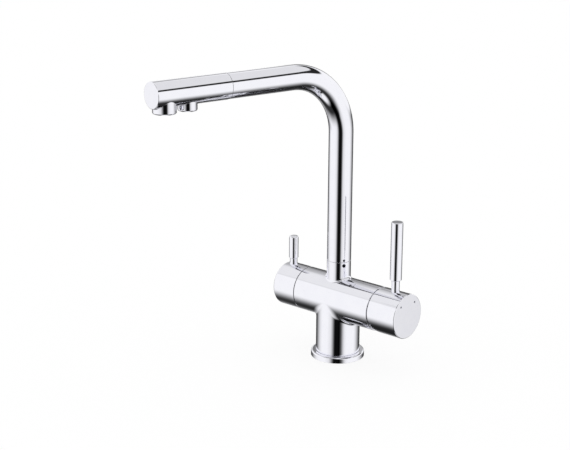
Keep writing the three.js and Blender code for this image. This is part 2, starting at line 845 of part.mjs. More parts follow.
const headRing = [
  [spigotRadius - spigotGroove + runGap, spigotGroovePlace + faceGap],
  [pipeBore - runGap, spigotGroovePlace + faceGap],
  [pipeBore - runGap, spigotGroovePlace + oRingSection - faceGap],
  [spigotRadius - spigotGroove + runGap, spigotGroovePlace + oRingSection - faceGap],
];
const headScrewLength = headRadius - spigotRadius + spigotGroove - 2 * seatGap;
const headScrew = cut(
  bar(headScrewRadius, vector(0, 0, 0), vector(0, 0, headScrewLength)),
  bar(hexSocketRadius, vector(0, 0, -over), vector(0, 0, headScrewLength / 2), 6),
);
addPiece(head, "spout_head", spoutHead(), chrome);
addPiece(head, "head_spigot", headSpigot(), brass);
addPiece(head, "head_o_ring", alongHead(headRing, medium), rubber);
const placedHeadScrew = addPiece(head, "head_grub_screw", headScrew, steel);
placedHeadScrew.position.set(headScrewPlace, 0, seatGap - headRadius);

// ---------------------------------------------------------------- outlets

// Jet holes: one in the middle and rings of them round it.
function jetPlaces(rings, pitch) {
  const places = [[0, 0]];
  for (let n = 1; n <= rings; n++) {
    for (let i = 0; i < 6 * n; i++) {
      places.push(polar(n * pitch, (60 / n) * i));
    }
  }
  return places;
}

// An aerator in its boss: a threaded sleeve, a plastic jet plate and the washer above them.
function addAerator(name, reach, bossRadius, rings, pitch, jetRadius) {
  const group = new THREE.Group();
  group.position.set(reach, 0, -outletDrop);
  head.add(group);
  const outer = bossRadius - outletWall - seatGap;
  const inner = outer - aeratorWall;
  const top = aeratorDepth - seatGap;
  const lipTop = aeratorInset + aeratorLip;
  const sleeveProfile = [
    [inner - aeratorLip, aeratorInset],
    [outer, aeratorInset],
    [outer, top],
    [inner, top],
    [inner, lipTop],
    [inner - aeratorLip, lipTop],
  ];
  const sleeve = turned(sleeveProfile, medium);
  const plateLow = lipTop + faceGap;
  const plate = ring(0, inner - runGap, plateLow, top, medium);
  const jets = jetPlaces(rings, pitch).map(([x, y]) => {
    return bar(jetRadius, vector(x, y, 0), vector(x, y, aeratorDepth + over), jetFacets);
  });
  const washerTop = aeratorDepth + washerThickness - seatGap;
  const washer = ring(outer - washerWidth, outer, aeratorDepth, washerTop, medium);
  addPiece(group, name + "_aerator_sleeve", sleeve, chrome);
  addPiece(group, name + "_aerator_insert", cut(plate, ...jets), blackPlastic);
  addPiece(group, name + "_aerator_washer", washer, rubber);
}

addAerator("mains", mainsOutletReach, mainsOutletRadius, 2, mainsJetPitch, mainsJetRadius);
addAerator("filter", filterOutletReach, filterOutletRadius, 1, filterJetPitch, filterJetRadius);

// ---------------------------------------------------------------- mixer cartridge

const housingStart = cartridgeSeat + sealThickness + 2 * faceGap;
const fixedDiscStart = housingStart + cartridgeFloor + faceGap;
const movingDiscStart = fixedDiscStart + fixedDiscThickness + faceGap;
const carrierStart = movingDiscStart + movingDiscThickness + faceGap;
const rotorStart = carrierStart + carrierThickness + faceGap;
const rotorEnd = cartridgeTop - cartridgeLip - seatGap;
const stemBallPlace = carrierStart + carrierThickness / 2;
const stemTailLength = mixerPivotPlace - stemBallPlace;
const discStroke = stemTailLength * Math.sin(radians(flowSwing));

// The two inlets and the outlet, as bars through the cartridge's floor.
function cartridgePorts(from, to) {
  const places = [
    [-cartridgePortDrop, cartridgePortSpread],
    [-cartridgePortDrop, -cartridgePortSpread],
    [cartridgeOutletRise, 0],
  ];
  return places.map(([x, y]) => bar(cartridgePortRadius, vector(x, y, from), vector(x, y, to)));
}

function portedDisc(radius, from, thickness) {
  const disc = ring(0, radius, from, from + thickness, medium);
  return cut(disc, ...cartridgePorts(from - over, from + thickness + over));
}

function cartridgeHousing() {
  const chamberTop = cartridgeTop - cartridgeLip;
  const profile = [
    [0, housingStart],
    [cartridgeRadius, housingStart],
    [cartridgeRadius, cartridgeShoulder],
    [cartridgeNeckRadius, cartridgeShoulder],
    [cartridgeNeckRadius, cartridgeTop],
    [cartridgeChamber, cartridgeTop],
    [cartridgeChamber, housingStart + cartridgeFloor],
    [0, housingStart + cartridgeFloor],
  ];
  // The lip that holds the rotor in reaches over its upper half only, clear of the stem.
  const lip = cut(
    ring(
      rotorRadius - cartridgeLipReach,
      cartridgeChamber + cartridgeLipRoot,
      chamberTop,
      cartridgeTop,
      medium,
    ),
    box(
      vector(-cartridgeRadius, -cartridgeRadius, chamberTop - over),
      vector(0, cartridgeRadius, cartridgeTop + over),
    ),
  );
  const shell = cut(turned(profile, medium), ...cartridgePorts(housingStart - over, fixedDiscStart));
  return join(shell, lip);
}

addPiece(
  mixerSide,
  "cartridge_seal",
  portedDisc(sealRadius, cartridgeSeat + faceGap, sealThickness),
  rubber,
);
addPiece(mixerSide, "cartridge_housing", cartridgeHousing(), whitePlastic);
addPiece(
  mixerSide,
  "fixed_ceramic_disc",
  portedDisc(cartridgeChamber - runGap, fixedDiscStart, fixedDiscThickness),
  ceramic,
);

// The slotted nut that clamps the cartridge.
function cartridgeNut() {
  const low = cartridgeShoulder + seatGap;
  const high = barrelRight + seatGap + cartridgeNutStandOut;
  const nut = ring(cartridgeNeckRadius + seatGap, cartridgeNutRadius, low, high, medium);
  const slots = [0, 90].map((degrees) => {
    const half = nutSlotWidth / 2;
    const reach = cartridgeNutRadius + over;
    const slot = box(vector(-half, -reach, high - nutSlotDepth), vector(half, reach, high + over));
    return slot.rotateZ(radians(degrees));
  });
  return cut(nut, ...slots);
}

// The trim ring closes the barrel's end, and its dome shows under the tilted cap.
function mixerDome() {
  const inner = cartridgeNutRadius + seatGap;
  const start = barrelRight + seatGap;
  const steps = 5;
  const curve = (shrink) => {
    return Array.from({ length: steps + 1 }, (_, i) => {
      const angle = (Math.PI / 2) * (i / steps);
      const radius = domeMouthRadius + (domeRadius - domeMouthRadius) * Math.cos(angle) - shrink;
      return [radius, trimRingEnd + domeLength * Math.sin(angle)];
    });
  };
  const profile = [
    [inner, start],
    [trimRingRadius, start],
    [trimRingRadius, trimRingEnd],
    ...curve(0),
    ...curve(domeWall).reverse(),
  ];
  return turned(profile);
}

addPiece(mixerSide, "cartridge_nut", cartridgeNut(), brass);
addPiece(mixerSide, "mixer_dome", mixerDome(), chrome);

// The rotor turns with the handle and carries the pivot pin. The stem swings in its slot.
function mixerRotor() {
  const slotHalf = stemWidth / 2 + seatGap;
  return cut(
    ring(0, rotorRadius, rotorStart, rotorEnd, medium),
    box(
      vector(-rotorRadius - over, -slotHalf, rotorStart - over),
      vector(-rotorSlotDrop, slotHalf, rotorEnd + over),
    ),
    bar(
      pivotPinRadius + runGap,
      vector(-flowPivotDrop, -rotorRadius, mixerPivotPlace),
      vector(-flowPivotDrop, rotorRadius, mixerPivotPlace),
      pinFacets,
    ),
  );
}

const pivotPinEnd = vector(0, pivotPinHalf, 0);
const pivotPin = bar(pivotPinRadius, pivotPinEnd.clone().negate(), pivotPinEnd, pinFacets);
addPiece(mixerSide, "mixer_rotor", mixerRotor(), whitePlastic);
const placedPin = addPiece(mixerSide, "pivot_pin", pivotPin, steel);
placedPin.position.set(-flowPivotDrop, 0, mixerPivotPlace);

// The moving disc and its carrier slide across the fixed disc, from half the stroke below its middle.
const slider = new THREE.Group();
slider.position.x = -discStroke / 2;
mixerSide.add(slider);

const movingDisc = cut(
  ring(0, movingDiscRadius, movingDiscStart, movingDiscStart + movingDiscThickness, medium),
  ring(0, mixingPocketRadius, movingDiscStart - over, movingDiscStart + mixingPocketDepth, medium),
);
const ballPocketPlace = discStroke / 2 - flowPivotDrop;
const discCarrier = cut(
  ring(0, movingDiscRadius, carrierStart, carrierStart + carrierThickness, medium),
  bar(
    stemBallRadius + runGap,
    vector(ballPocketPlace, 0, carrierStart - over),
    vector(ballPocketPlace, 0, carrierStart + carrierThickness + over),
  ),
);
addPiece(slider, "moving_ceramic_disc", movingDisc, ceramic);
addPiece(slider, "disc_carrier", discCarrier, blackPlastic);

// ---------------------------------------------------------------- mixer handle

// The stem, with the pivot at its origin.
function cartridgeStem() {
  const half = stemWidth / 2;
  const top = mixerPocketRoof + stemSocketDepth - seatGap - mixerPivotPlace;
  const shank = box(vector(-half, -half, -half), vector(half, half, top));
  const tail = bar(stemTailRadius, vector(0, 0, -stemTailLength), vector(0, 0, 0));
  const ball = new THREE.SphereGeometry(stemBallRadius, fine).translate(0, 0, -stemTailLength);
  const holeEnd = vector(0, half + over, 0);
  const pinHole = bar(pivotPinRadius + runGap, holeEnd.clone().negate(), holeEnd, pinFacets);
  return cut(join(shank, tail, ball), pinHole);
}

const mixerCapStart = trimRingEnd + mixerCapGap;
const mixerPocketRoof = mixerCapStart + mixerPocketDepth;
const stem = addPiece(mixerSide, "cartridge_stem", cartridgeStem(), steel);
stem.position.set(-flowPivotDrop, 0, mixerPivotPlace);

// The relief under the cap: a half space that the cap's lower rim swings out of.
function capRelief() {
  const reach = 3 * barrelRadius;
  const face = mixerCapStart - faceGap - mixerPivotPlace;
  const block = box(vector(-reach, -reach, face - reach), vector(reach, reach, face));
  block.rotateY(radians(flowSwing + reliefMargin));
  return block.translate(-flowPivotDrop, 0, mixerPivotPlace);
}

// A round hole from the cap's surface towards its axis, on the lever's side (1) or opposite to it (-1).
function radialHole(radius, place, depth, side) {
  const from = vector(side * (barrelRadius + over), 0, place);
  return bar(radius, from, vector(side * (barrelRadius - depth), 0, place));
}

function leverSeat(neckRadius, place) {
  return [
    radialHole(leverStudRadius + seatGap, place, leverStudLength + spotFaceDepth + seatGap, 1),
    radialHole(neckRadius + spotFaceMargin, place, spotFaceDepth, 1),
  ];
}

const indicatorPlaces = {
  cold: polar(indicatorRing, indicatorAngle),
  hot: polar(indicatorRing, -indicatorAngle),
};

function mixerCap() {
  const inner = barrelRadius - mixerCapWall;
  const edgeCentre = [barrelRadius - mixerCapEdge, mixerCapEnd - mixerCapEdge];
  const outside = turned([
    [0, mixerCapStart],
    [barrelRadius, mixerCapStart],
    ...quarter(...edgeCentre, mixerCapEdge, 0, 3),
    [0, mixerCapEnd],
  ]);
  const pocket = turned([
    [0, mixerCapStart - over],
    [inner, mixerCapStart - over],
    [inner, mixerCapStart + mixerPocketStep],
    [mixerPocketRoofRadius, mixerPocketRoof],
    [0, mixerPocketRoof],
  ]);
  const half = stemWidth / 2 + seatGap;
  const socket = box(
    vector(-flowPivotDrop - half, -half, mixerPocketRoof - over),
    vector(-flowPivotDrop + half, half, mixerPocketRoof + stemSocketDepth),
  );
  const dots = Object.values(indicatorPlaces).map(([x, y]) => {
    const bottom = vector(x, y, mixerCapEnd - indicatorDepth);
    return bar(indicatorRadius + runGap, bottom, vector(x, y, mixerCapEnd + over));
  });
  const screwDepth = barrelRadius - flowPivotDrop - stemWidth / 2;
  return cut(
    outside,
    pocket,
    socket,
    capRelief(),
    ...leverSeat(mixerNeckRadius, mixerLeverPlace),
    radialHole(grubRadius + seatGap, mixerScrewPlace, screwDepth, -1),
    ...dots,
  );
}

// A lever along +X from the cap's surface: stud, neck and grip.
function lever({ neckRadius, neckTop, gripRadius, top, edge, edgeSteps }) {
  const seat = barrelRadius - spotFaceDepth + faceGap;
  const shoulder = neckTop - barrelAxisHeight;
  const end = top - barrelAxisHeight;
  const profile = [
    [0, seat - leverStudLength],
    [leverStudRadius, seat - leverStudLength],
    [leverStudRadius, seat],
    [neckRadius, seat],
    [neckRadius, shoulder],
    [gripRadius, shoulder + (gripRadius - neckRadius) / 2],
    ...quarter(gripRadius - edge, end - edge, edge, 0, edgeSteps),
    [0, end],
  ];
  return turned(profile, medium).rotateY(Math.PI / 2);
}

// A screw in a radial hole on the side away from the lever, with its tip this far below the axis.
function handleScrew(tip) {
  return grubScrew(grubRadius, grubLength).rotateY(-Math.PI / 2).translate(-tip - grubLength, 0, 0);
}

addPiece(mixerSide, "mixer_handle_cap", mixerCap(), chrome);
const mixerLever = lever({
  neckRadius: mixerNeckRadius,
  neckTop: mixerNeckTop,
  gripRadius: mixerLeverRadius,
  top: mixerLeverTop,
  edge: mixerLeverEdge,
  edgeSteps: 2,
});
addPiece(mixerSide, "mixer_lever", mixerLever, chrome).position.z = mixerLeverPlace;
const mixerScrew = handleScrew(flowPivotDrop + stemWidth / 2 + faceGap);
addPiece(mixerSide, "mixer_handle_screw", mixerScrew, steel).position.z = mixerScrewPlace;
for (const [name, [x, y]] of Object.entries(indicatorPlaces)) {
  const dot = ring(0, indicatorRadius, 0, indicatorDepth - faceGap, fine);
  const piece = addPiece(mixerSide, name + "_indicator", dot, greyDot);
  piece.position.set(x, y, mixerCapEnd - indicatorDepth + faceGap);
}

// ---------------------------------------------------------------- filter valve

const valveSealStart = valveSeat + faceGap;
const valveBodyStart = valveSeat + seatGap;
const valveFixedStart = valveSealStart + valveSealThickness + faceGap;
const valveMovingStart = valveFixedStart + valveDiscThickness + faceGap;
const dogStart = valveMovingStart + valveDiscThickness + faceGap;
const valveHexStart = barrelLeft + seatGap;
const valveNeckTop = valveHexStart + valveHexLength + valveNeckLength;
const spindleGroovePlace = valveHexStart + spindleGrooveRise;
const spindleGrooveEnd = spindleGroovePlace + spindleGrooveWidth;

function valveBody() {
  const chamberTop = valveBodyStart + valveChamberDepth;
  const spindleBore = spindleRadius + runGap;
  const profile = [
    [valveChamberRadius, valveBodyStart],
    [valveRadius, valveBodyStart],
    [valveRadius, valveHexStart],
    [valveRadius + valveFlange, valveHexStart],
    [valveRadius + valveFlange, valveHexStart + valveFlange],
    [valveNeckRadius, valveHexStart + valveFlange],
    [valveNeckRadius, valveNeckTop],
    [spindleBore, valveNeckTop],
    [spindleBore, chamberTop],
    [valveChamberRadius, chamberTop],
  ];
  const corner = valveHex / Math.cos(Math.PI / 6);
  const hexagon = cut(
    ring(0, corner, valveHexStart, valveHexStart + valveHexLength, 6),
    ring(0, valveNeckRadius - over, valveHexStart - over, valveNeckTop, medium),
  );
  const window = bar(
    valveWindowRadius,
    vector(-valveRadius - over, 0, valveInletPlace),
    vector(0, 0, valveInletPlace),
  );
  return cut(join(turned(profile, medium), hexagon), window);
}

// Two opposite ports through a ceramic disc, in the disc's own frame.
function valveDisc(from, place) {
  const radius = valveChamberRadius - runGap;
  const disc = ring(0, radius, from, from + valveDiscThickness, medium);
  const ports = [1, -1].map((side) => {
    const [x, y] = [side * place[0], side * place[1]];
    const end = vector(x, y, from + valveDiscThickness + over);
    return bar(valvePortRadius, vector(x, y, from - over), end);
  });
  return cut(disc, ...ports);
}

function filterSpindle() {
  const grooveFloor = spindleRadius - spindleGrooveDepth;
  const dogMiddle = dogStart + spindleDogThickness / 2;
  const profile = [
    [0, dogMiddle],
    [spindleRadius, dogMiddle],
    [spindleRadius, spindleGroovePlace],
    [grooveFloor, spindleGroovePlace],
    [grooveFloor, spindleGrooveEnd],
    [spindleRadius, spindleGrooveEnd],
    [spindleRadius, spindleTop],
    [0, spindleTop],
  ];
  const reach = valveChamberRadius - spindleDogInset;
  const half = spindleDogWidth / 2;
  const dog = box(vector(-reach, -half, dogStart), vector(reach, half, dogStart + spindleDogThickness));
  return join(turned(profile, fine), dog);
}

const spindleSeal = ring(
  spindleRadius - spindleGrooveDepth + runGap,
  spindleRadius,
  spindleGroovePlace + faceGap,
  spindleGrooveEnd - faceGap,
  fine,
);
const valveSealEnd = valveSealStart + valveSealThickness;
const valveSeal = ring(valveSealInner, valveSealOuter, valveSealStart, valveSealEnd, medium);
addPiece(filterSide, "filter_valve_body", valveBody(), brass);
addPiece(filterSide, "filter_valve_seal", valveSeal, rubber);
addPiece(filterSide, "filter_fixed_disc", valveDisc(valveFixedStart, [valvePortRing, 0]), ceramic);
addPiece(filterSide, "filter_moving_disc", valveDisc(valveMovingStart, [0, valvePortRing]), ceramic);
addPiece(filterSide, "filter_spindle", filterSpindle(), brass);
addPiece(filterSide, "filter_spindle_o_ring", spindleSeal, rubber);

// ---------------------------------------------------------------- filter handle

function filterCap() {
  const start = barrelLeft + filterCapGap;
  const roof = start + filterPocketDepth;
  const edgeCentre = [barrelRadius - filterCapEdge, filterCapEnd - filterCapEdge];
  const outside = turned([
    [0, start],
    [barrelRadius, start],
    ...quarter(...edgeCentre, filterCapEdge, 0),
    [0, filterCapEnd],
  ]);
  const screwDepth = barrelRadius - spindleRadius;
  return cut(
    outside,
    ring(0, barrelRadius - filterCapWall, start - over, roof),
    ring(0, spindleRadius + seatGap, roof - over, spindleTop + seatGap, fine),
    ...leverSeat(filterNeckRadius, filterLeverPlace),
    radialHole(grubRadius + seatGap, filterLeverPlace, screwDepth, -1),
  );
}

addPiece(filterSide, "filter_handle_cap", filterCap(), chrome);
const filterLever = lever({
  neckRadius: filterNeckRadius,
  neckTop: filterNeckTop,
  gripRadius: filterLeverRadius,
  top: filterLeverTop,
  edge: filterLeverEdge,
  edgeSteps: 4,
});
addPiece(filterSide, "filter_lever", filterLever, chrome).position.z = filterLeverPlace;
const filterScrew = handleScrew(spindleRadius + faceGap);
addPiece(filterSide, "filter_handle_screw", filterScrew, steel).position.z = filterLeverPlace;

export default tap;
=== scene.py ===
# A three way kitchen tap in polished chrome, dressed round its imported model.
import json
import math

import bmesh
import bpy
import numpy as np
from mathutils import Matrix, Vector


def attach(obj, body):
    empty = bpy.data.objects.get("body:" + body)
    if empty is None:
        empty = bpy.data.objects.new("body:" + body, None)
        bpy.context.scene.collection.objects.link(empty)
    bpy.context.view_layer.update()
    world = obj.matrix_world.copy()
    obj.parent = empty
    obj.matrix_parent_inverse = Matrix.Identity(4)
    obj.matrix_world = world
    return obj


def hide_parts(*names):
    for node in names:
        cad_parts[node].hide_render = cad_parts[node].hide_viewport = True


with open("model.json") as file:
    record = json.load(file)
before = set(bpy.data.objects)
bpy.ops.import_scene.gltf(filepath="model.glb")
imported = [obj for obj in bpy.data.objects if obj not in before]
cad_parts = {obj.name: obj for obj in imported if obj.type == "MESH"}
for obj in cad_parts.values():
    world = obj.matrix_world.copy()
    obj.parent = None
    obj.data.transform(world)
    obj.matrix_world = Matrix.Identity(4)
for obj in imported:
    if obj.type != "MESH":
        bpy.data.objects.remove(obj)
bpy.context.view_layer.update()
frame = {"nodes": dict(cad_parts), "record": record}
nodes = frame["nodes"]

mm = 0.001
fullTurn = 2 * math.pi


# Nodes and colours

def linear(hexColour):
    # The sRGB curve, from a hex value to linear light.
    parts = [int(hexColour[i:i + 2], 16) / 255 for i in (1, 3, 5)]
    return (*(p / 12.92 if p <= 0.04045 else ((p + 0.055) / 1.055) ** 2.4 for p in parts), 1.0)


def addNode(tree, kind, inputs=None, **settings):
    # An input is a value, a node whose first output goes in, an output, or a list of these.
    node = tree.nodes.new(kind)
    for key, value in settings.items():
        setattr(node, key, value)
    for key, value in (inputs or {}).items():
        for item in value if isinstance(value, list) else [value]:
            if isinstance(item, bpy.types.Node):
                item = item.outputs[0]
            if isinstance(item, bpy.types.NodeSocket):
                tree.links.new(item, node.inputs[key])
            else:
                node.inputs[key].default_value = item
    return node


def newMaterial(name):
    material = bpy.data.materials.new(name)
    material.use_nodes = True
    material.node_tree.nodes.clear()
    return material, material.node_tree


def patternNoise(tree, size, detail, stretch):
    # Noise whose features are about this many millimetres across.
    place = addNode(tree, "ShaderNodeTexCoord")
    mapping = addNode(tree, "ShaderNodeMapping", {"Vector": place.outputs["Object"], "Scale": stretch})
    inputs = {"Vector": mapping, "Scale": 1 / (size * mm), "Detail": detail}
    return addNode(tree, "ShaderNodeTexNoise", inputs, noise_dimensions="3D").outputs["Fac"]


# Materials: a grain of (millimetres across, detail, stretch) moves the colour and the bump, and a haze, or
# else the same grain, moves the roughness. A bump is (strength, height in millimetres).

plainBump = (0.3, 0.02)
noiseSpan = (0.3, 0.7)      # where most of the noise's values lie
finishes = {
    # Brass, buffed and then chrome plated: a mirror with slow waves 9 mm wide and a trace of finer haze.
    "platedChrome": {
        "colours": ("#f6f6fb", "#f1f1f8"),
        "roughness": (0.035, 0.06),
        "metallic": 1.0,
        "grain": (9, 1, (1, 1, 1)),
        "haze": (2.2, 4, (1, 1, 1)),
        "bump": (0.4, 0.002),
    },
    # Brass left bare inside the tap: warm and satin, with rings 0.1 mm apart from the lathe tool.
    "machinedBrass": {
        "colours": ("#b8924c", "#c9a561"),
        "roughness": (0.25, 0.4),
        "metallic": 1.0,
        "grain": (1.2, 3, (1, 1, 12)),
    },
    # Alloy steel screws: near black, with a soft shine.
    "nearBlackSteel": {
        "colours": ("#232427", "#303136"),
        "roughness": (0.3, 0.45),
        "metallic": 1.0,
        "grain": (0.6, 3, (1, 1, 1)),
    },
    # Stainless bar, turned: grey and satin, with fine rings.
    "turnedSteel": {
        "colours": ("#8e9094", "#a9abae"),
        "roughness": (0.2, 0.34),
        "metallic": 1.0,
        "grain": (0.8, 3, (1, 1, 10)),
    },
    # Moulded nitrile rings: matt black with a dry bloom.
    "nitrileRubber": {
        "colours": ("#171718", "#242425"),
        "roughness": (0.6, 0.8),
        "metallic": 0.0,
        "grain": (0.6, 3, (1, 1, 1)),
    },
    # Moulded black acetal: dense, with a low waxy shine.
    "blackAcetal": {
        "colours": ("#1b1c1e", "#27282b"),
        "roughness": (0.32, 0.5),
        "metallic": 0.0,
        "grain": (1.5, 3, (1, 1, 1)),
    },
    # Moulded nylon in its own colour: off white and slightly cloudy.
    "whiteNylon": {
        "colours": ("#e4e3dc", "#efeee8"),
        "roughness": (0.35, 0.5),
        "metallic": 0.0,
        "grain": (2.0, 3, (1, 1, 1)),
    },
    # Sintered alumina, lapped flat: ivory with a tight gloss.
    "aluminaCeramic": {
        "colours": ("#efe9dc", "#f6f2e8"),
        "roughness": (0.12, 0.22),
        "metallic": 0.0,
        "grain": (0.9, 3, (1, 1, 1)),
    },
    # The cap's two marks: flat grey, a little blue.
    "markGrey": {
        "colours": ("#6d6e78", "#7d7e88"),
        "roughness": (0.25, 0.4),
        "metallic": 0.0,
        "grain": (0.7, 3, (1, 1, 1)),
    },
}


def makeFinish(name):
    s = finishes[name]
    material, tree = newMaterial(name)
    grain = patternNoise(tree, *s["grain"])
    haze = patternNoise(tree, *s.get("haze", s["grain"]))
    first, second = (linear(colour) for colour in s["colours"])     # the Mix node's inputs 6 and 7
    colour = addNode(tree, "ShaderNodeMix", {0: grain, 6: first, 7: second}, data_type="RGBA")
    span = {"From Min": noiseSpan[0], "From Max": noiseSpan[1]}
    target = {"To Min": s["roughness"][0], "To Max": s["roughness"][1]}
    rough = addNode(tree, "ShaderNodeMapRange", {"Value": haze, **span, **target})
    strength, height = s.get("bump", plainBump)
    relief = {"Height": grain, "Strength": strength, "Distance": height * mm}
    bump = addNode(tree, "ShaderNodeBump", relief)
    inputs = {
        "Base Color": colour.outputs[2],
        "Metallic": s["metallic"],
        "Roughness": rough,
        "Normal": bump,
    }
    shader = addNode(tree, "ShaderNodeBsdfPrincipled", inputs)
    addNode(tree, "ShaderNodeOutputMaterial", {"Surface": shader})
    return material


materials = {name: makeFinish(name) for name in finishes}
slotFinish = {
    "chrome": "platedChrome",
    "brass": "machinedBrass",
    "steel": "turnedSteel",
    "rubber": "nitrileRubber",
    "black_plastic": "blackAcetal",
    "white_plastic": "whiteNylon",
    "ceramic": "aluminaCeramic",
    "grey_enamel": "markGrey",
}
for part in frame["record"]["subparts"]:
    node = nodes[part["node"]]
    for slot in node.material_slots:
        slot.material = materials[slotFinish[part["material_slot"]]]
print("materials made")


# Surfaces: grids of points in millimetres with their exact normals, so that mirrors show no facets

cornersPerMm = 1e4      # corners closer than one part of this are the same corner
arcStep = 15            # degrees of a rounded edge that each row of faces may turn
tiny = 1e-6


class Skin:
    def __init__(self):
        self.points = []
        self.found = {}
        self.faces = []
        self.normals = []

    def corner(self, point):
        key = tuple(int(v) for v in np.round(point * cornersPerMm))
        if key not in self.found:
            self.found[key] = len(self.points)
            self.points.append(point)
        return self.found[key]

    def grid(self, points, normals):
        index = [[self.corner(p) for p in row] for row in points]
        first, second = points[1:, 1:] - points[:-1, :-1], points[1:, :-1] - points[:-1, 1:]
        facing = np.cross(first, second)
        middle = normals[1:, 1:] + normals[:-1, :-1] + normals[1:, :-1] + normals[:-1, 1:]
        outward = np.einsum("ijk,ijk->ij", facing, middle) > 0
        for i in range(len(index) - 1):
            for k in range(len(index[0]) - 1):
                kept = []
                for at in ((i, k), (i, k + 1), (i + 1, k + 1), (i + 1, k)):
                    if all(index[at[0]][at[1]] != index[other[0]][other[1]] for other in kept):
                        kept.append(at)
                if len(kept) < 3:
                    continue
                if not outward[i, k]:
                    kept.reverse()
                self.faces.append([index[a][b] for a, b in kept])
                self.normals.extend(normals[a, b] for a, b in kept)

    def build(self, name, material, body, slot, *replaced):
        mesh = bpy.data.meshes.new(name)
        mesh.from_pydata([tuple(p * mm) for p in self.points], [], self.faces)
        mesh.shade_smooth()
        mesh.normals_split_custom_set([tuple(n) for n in self.normals])
        piece = bpy.data.objects.new(name, mesh)
        bpy.context.scene.collection.objects.link(piece)
        mesh.materials.append(materials[material])
        return dress(piece, body, slot, *replaced)


def dress(piece, body, slot, *replaced):
    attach(piece, body)
    if replaced:
        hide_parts(*replaced)
    return piece


def axes(origin, along, up):
    along, up = np.array(along, float), np.array(up, float)
    return {"origin": np.array(origin, float), "along": along, "up": up, "side": np.cross(along, up)}


def uprightAt(place):
    return axes(place, (0, 0, 1), (1, 0, 0))


def wayTowards(degrees):
    # Level direction, measured from -Y towards +X.
    turned = math.radians(degrees)
    return np.array([math.sin(turned), -math.cos(turned), 0.0])


def flipped(base):
    return {**base, "up": -base["up"]}


def mapped(base, along, up, side):
    return along[..., None] * base["along"] + up[..., None] * base["up"] + side[..., None] * base["side"]


def cylinderAt(base, radius, along, angle):
    along, angle = np.broadcast_arrays(along, angle)
    normals = mapped(base, 0 * along, np.cos(angle), np.sin(angle))
    points = base["origin"] + mapped(base, along, radius * np.cos(angle), radius * np.sin(angle))
    return points, normals


def turn(skin, base, strip, angles):
    # One strip of a profile, rows of (radius, place, normal's radius, normal's place), turned round the axis.
    radius, place, normalRadius, normalPlace = np.array(strip, float).T[:, :, None]
    cos, sin = np.cos(angles)[None], np.sin(angles)[None]
    points = base["origin"] + mapped(base, place + 0 * cos, radius * cos, radius * sin)
    normals = mapped(base, normalPlace + 0 * cos, normalRadius * cos, normalRadius * sin)
    skin.grid(points, normals)


def strips(corners, closed=False):
    # A profile of (radius, place, rounding) corners as straight strips and arcs. The outside is on its right.
    corners = [(*corner, 0)[:3] for corner in corners]
    count = len(corners)
    ends = [[np.array(corner[:2], float)] * 2 for corner in corners]
    arcs = []
    for i in range(0 if closed else 1, count if closed else count - 1):
        before, here, after = (np.array(corners[(i + k) % count][:2], float) for k in (-1, 0, 1))
        into, out = here - before, after - here
        into, out = into / np.linalg.norm(into), out / np.linalg.norm(out)
        bend = math.atan2(into[0] * out[1] - into[1] * out[0], float(into @ out))
        rounding = corners[i][2]
        if rounding <= 0 or abs(bend) < tiny:
            continue
        reach = rounding * math.tan(abs(bend) / 2)
        start, end = here - reach * into, here + reach * out
        ends[i] = [start, end]
        sign = math.copysign(1, bend)
        x, y = into[1], -into[0]
        centre = start - sign * rounding * np.array([x, y])
        steps = max(3, math.ceil(abs(bend) / math.radians(arcStep)))
        arc = []
        for k in range(steps + 1):
            angle = bend * k / steps
            cos, sin = math.cos(angle), math.sin(angle)
            normal = np.array([x * cos - y * sin, x * sin + y * cos])
            point = centre + sign * rounding * normal
            arc.append((*point, *normal))
        arcs.append(arc)
    lines = []
    for i in range(count if closed else count - 1):
        start, end = ends[i][1], ends[(i + 1) % count][0]
        step = end - start
        length = np.linalg.norm(step)
        if length > tiny:
            normal = (step[1] / length, -step[0] / length)
            lines.append([(*start, *normal), (*end, *normal)])
    return lines + arcs


def revolve(skin, base, corners, angles, closed=False):
    for strip in strips(corners, closed):
        turn(skin, base, strip, angles)


def fullCircle(count):
    return np.linspace(0, fullTurn, count + 1)


def turnedPiece(name, base, corners, material, body, slot, *replaced, closed=False, segments=96):
    skin = Skin()
    revolve(skin, base, corners, fullCircle(segments), closed)
    return skin.build(name, material, body, slot, *replaced)


def rim(places, angles):
    # The border of a window on a cylinder, as (place, angle) points in order round it.
    sides = [
        [(x, angles[0]) for x in places[:-1]],
        [(places[-1], a) for a in angles[:-1]],
        [(x, angles[-1]) for x in places[:0:-1]],
        [(places[0], a) for a in angles[:0:-1]],
    ]
    points = [p for side in sides for p in side]
    return np.array(points + points[:1])


junctionSettings = {
    "crowding": 1.3,    # how much the window's rows crowd towards the post
    "filletRows": 9,
    "blend": 6,         # how sharply the fillet grows from its side size to its front size
}


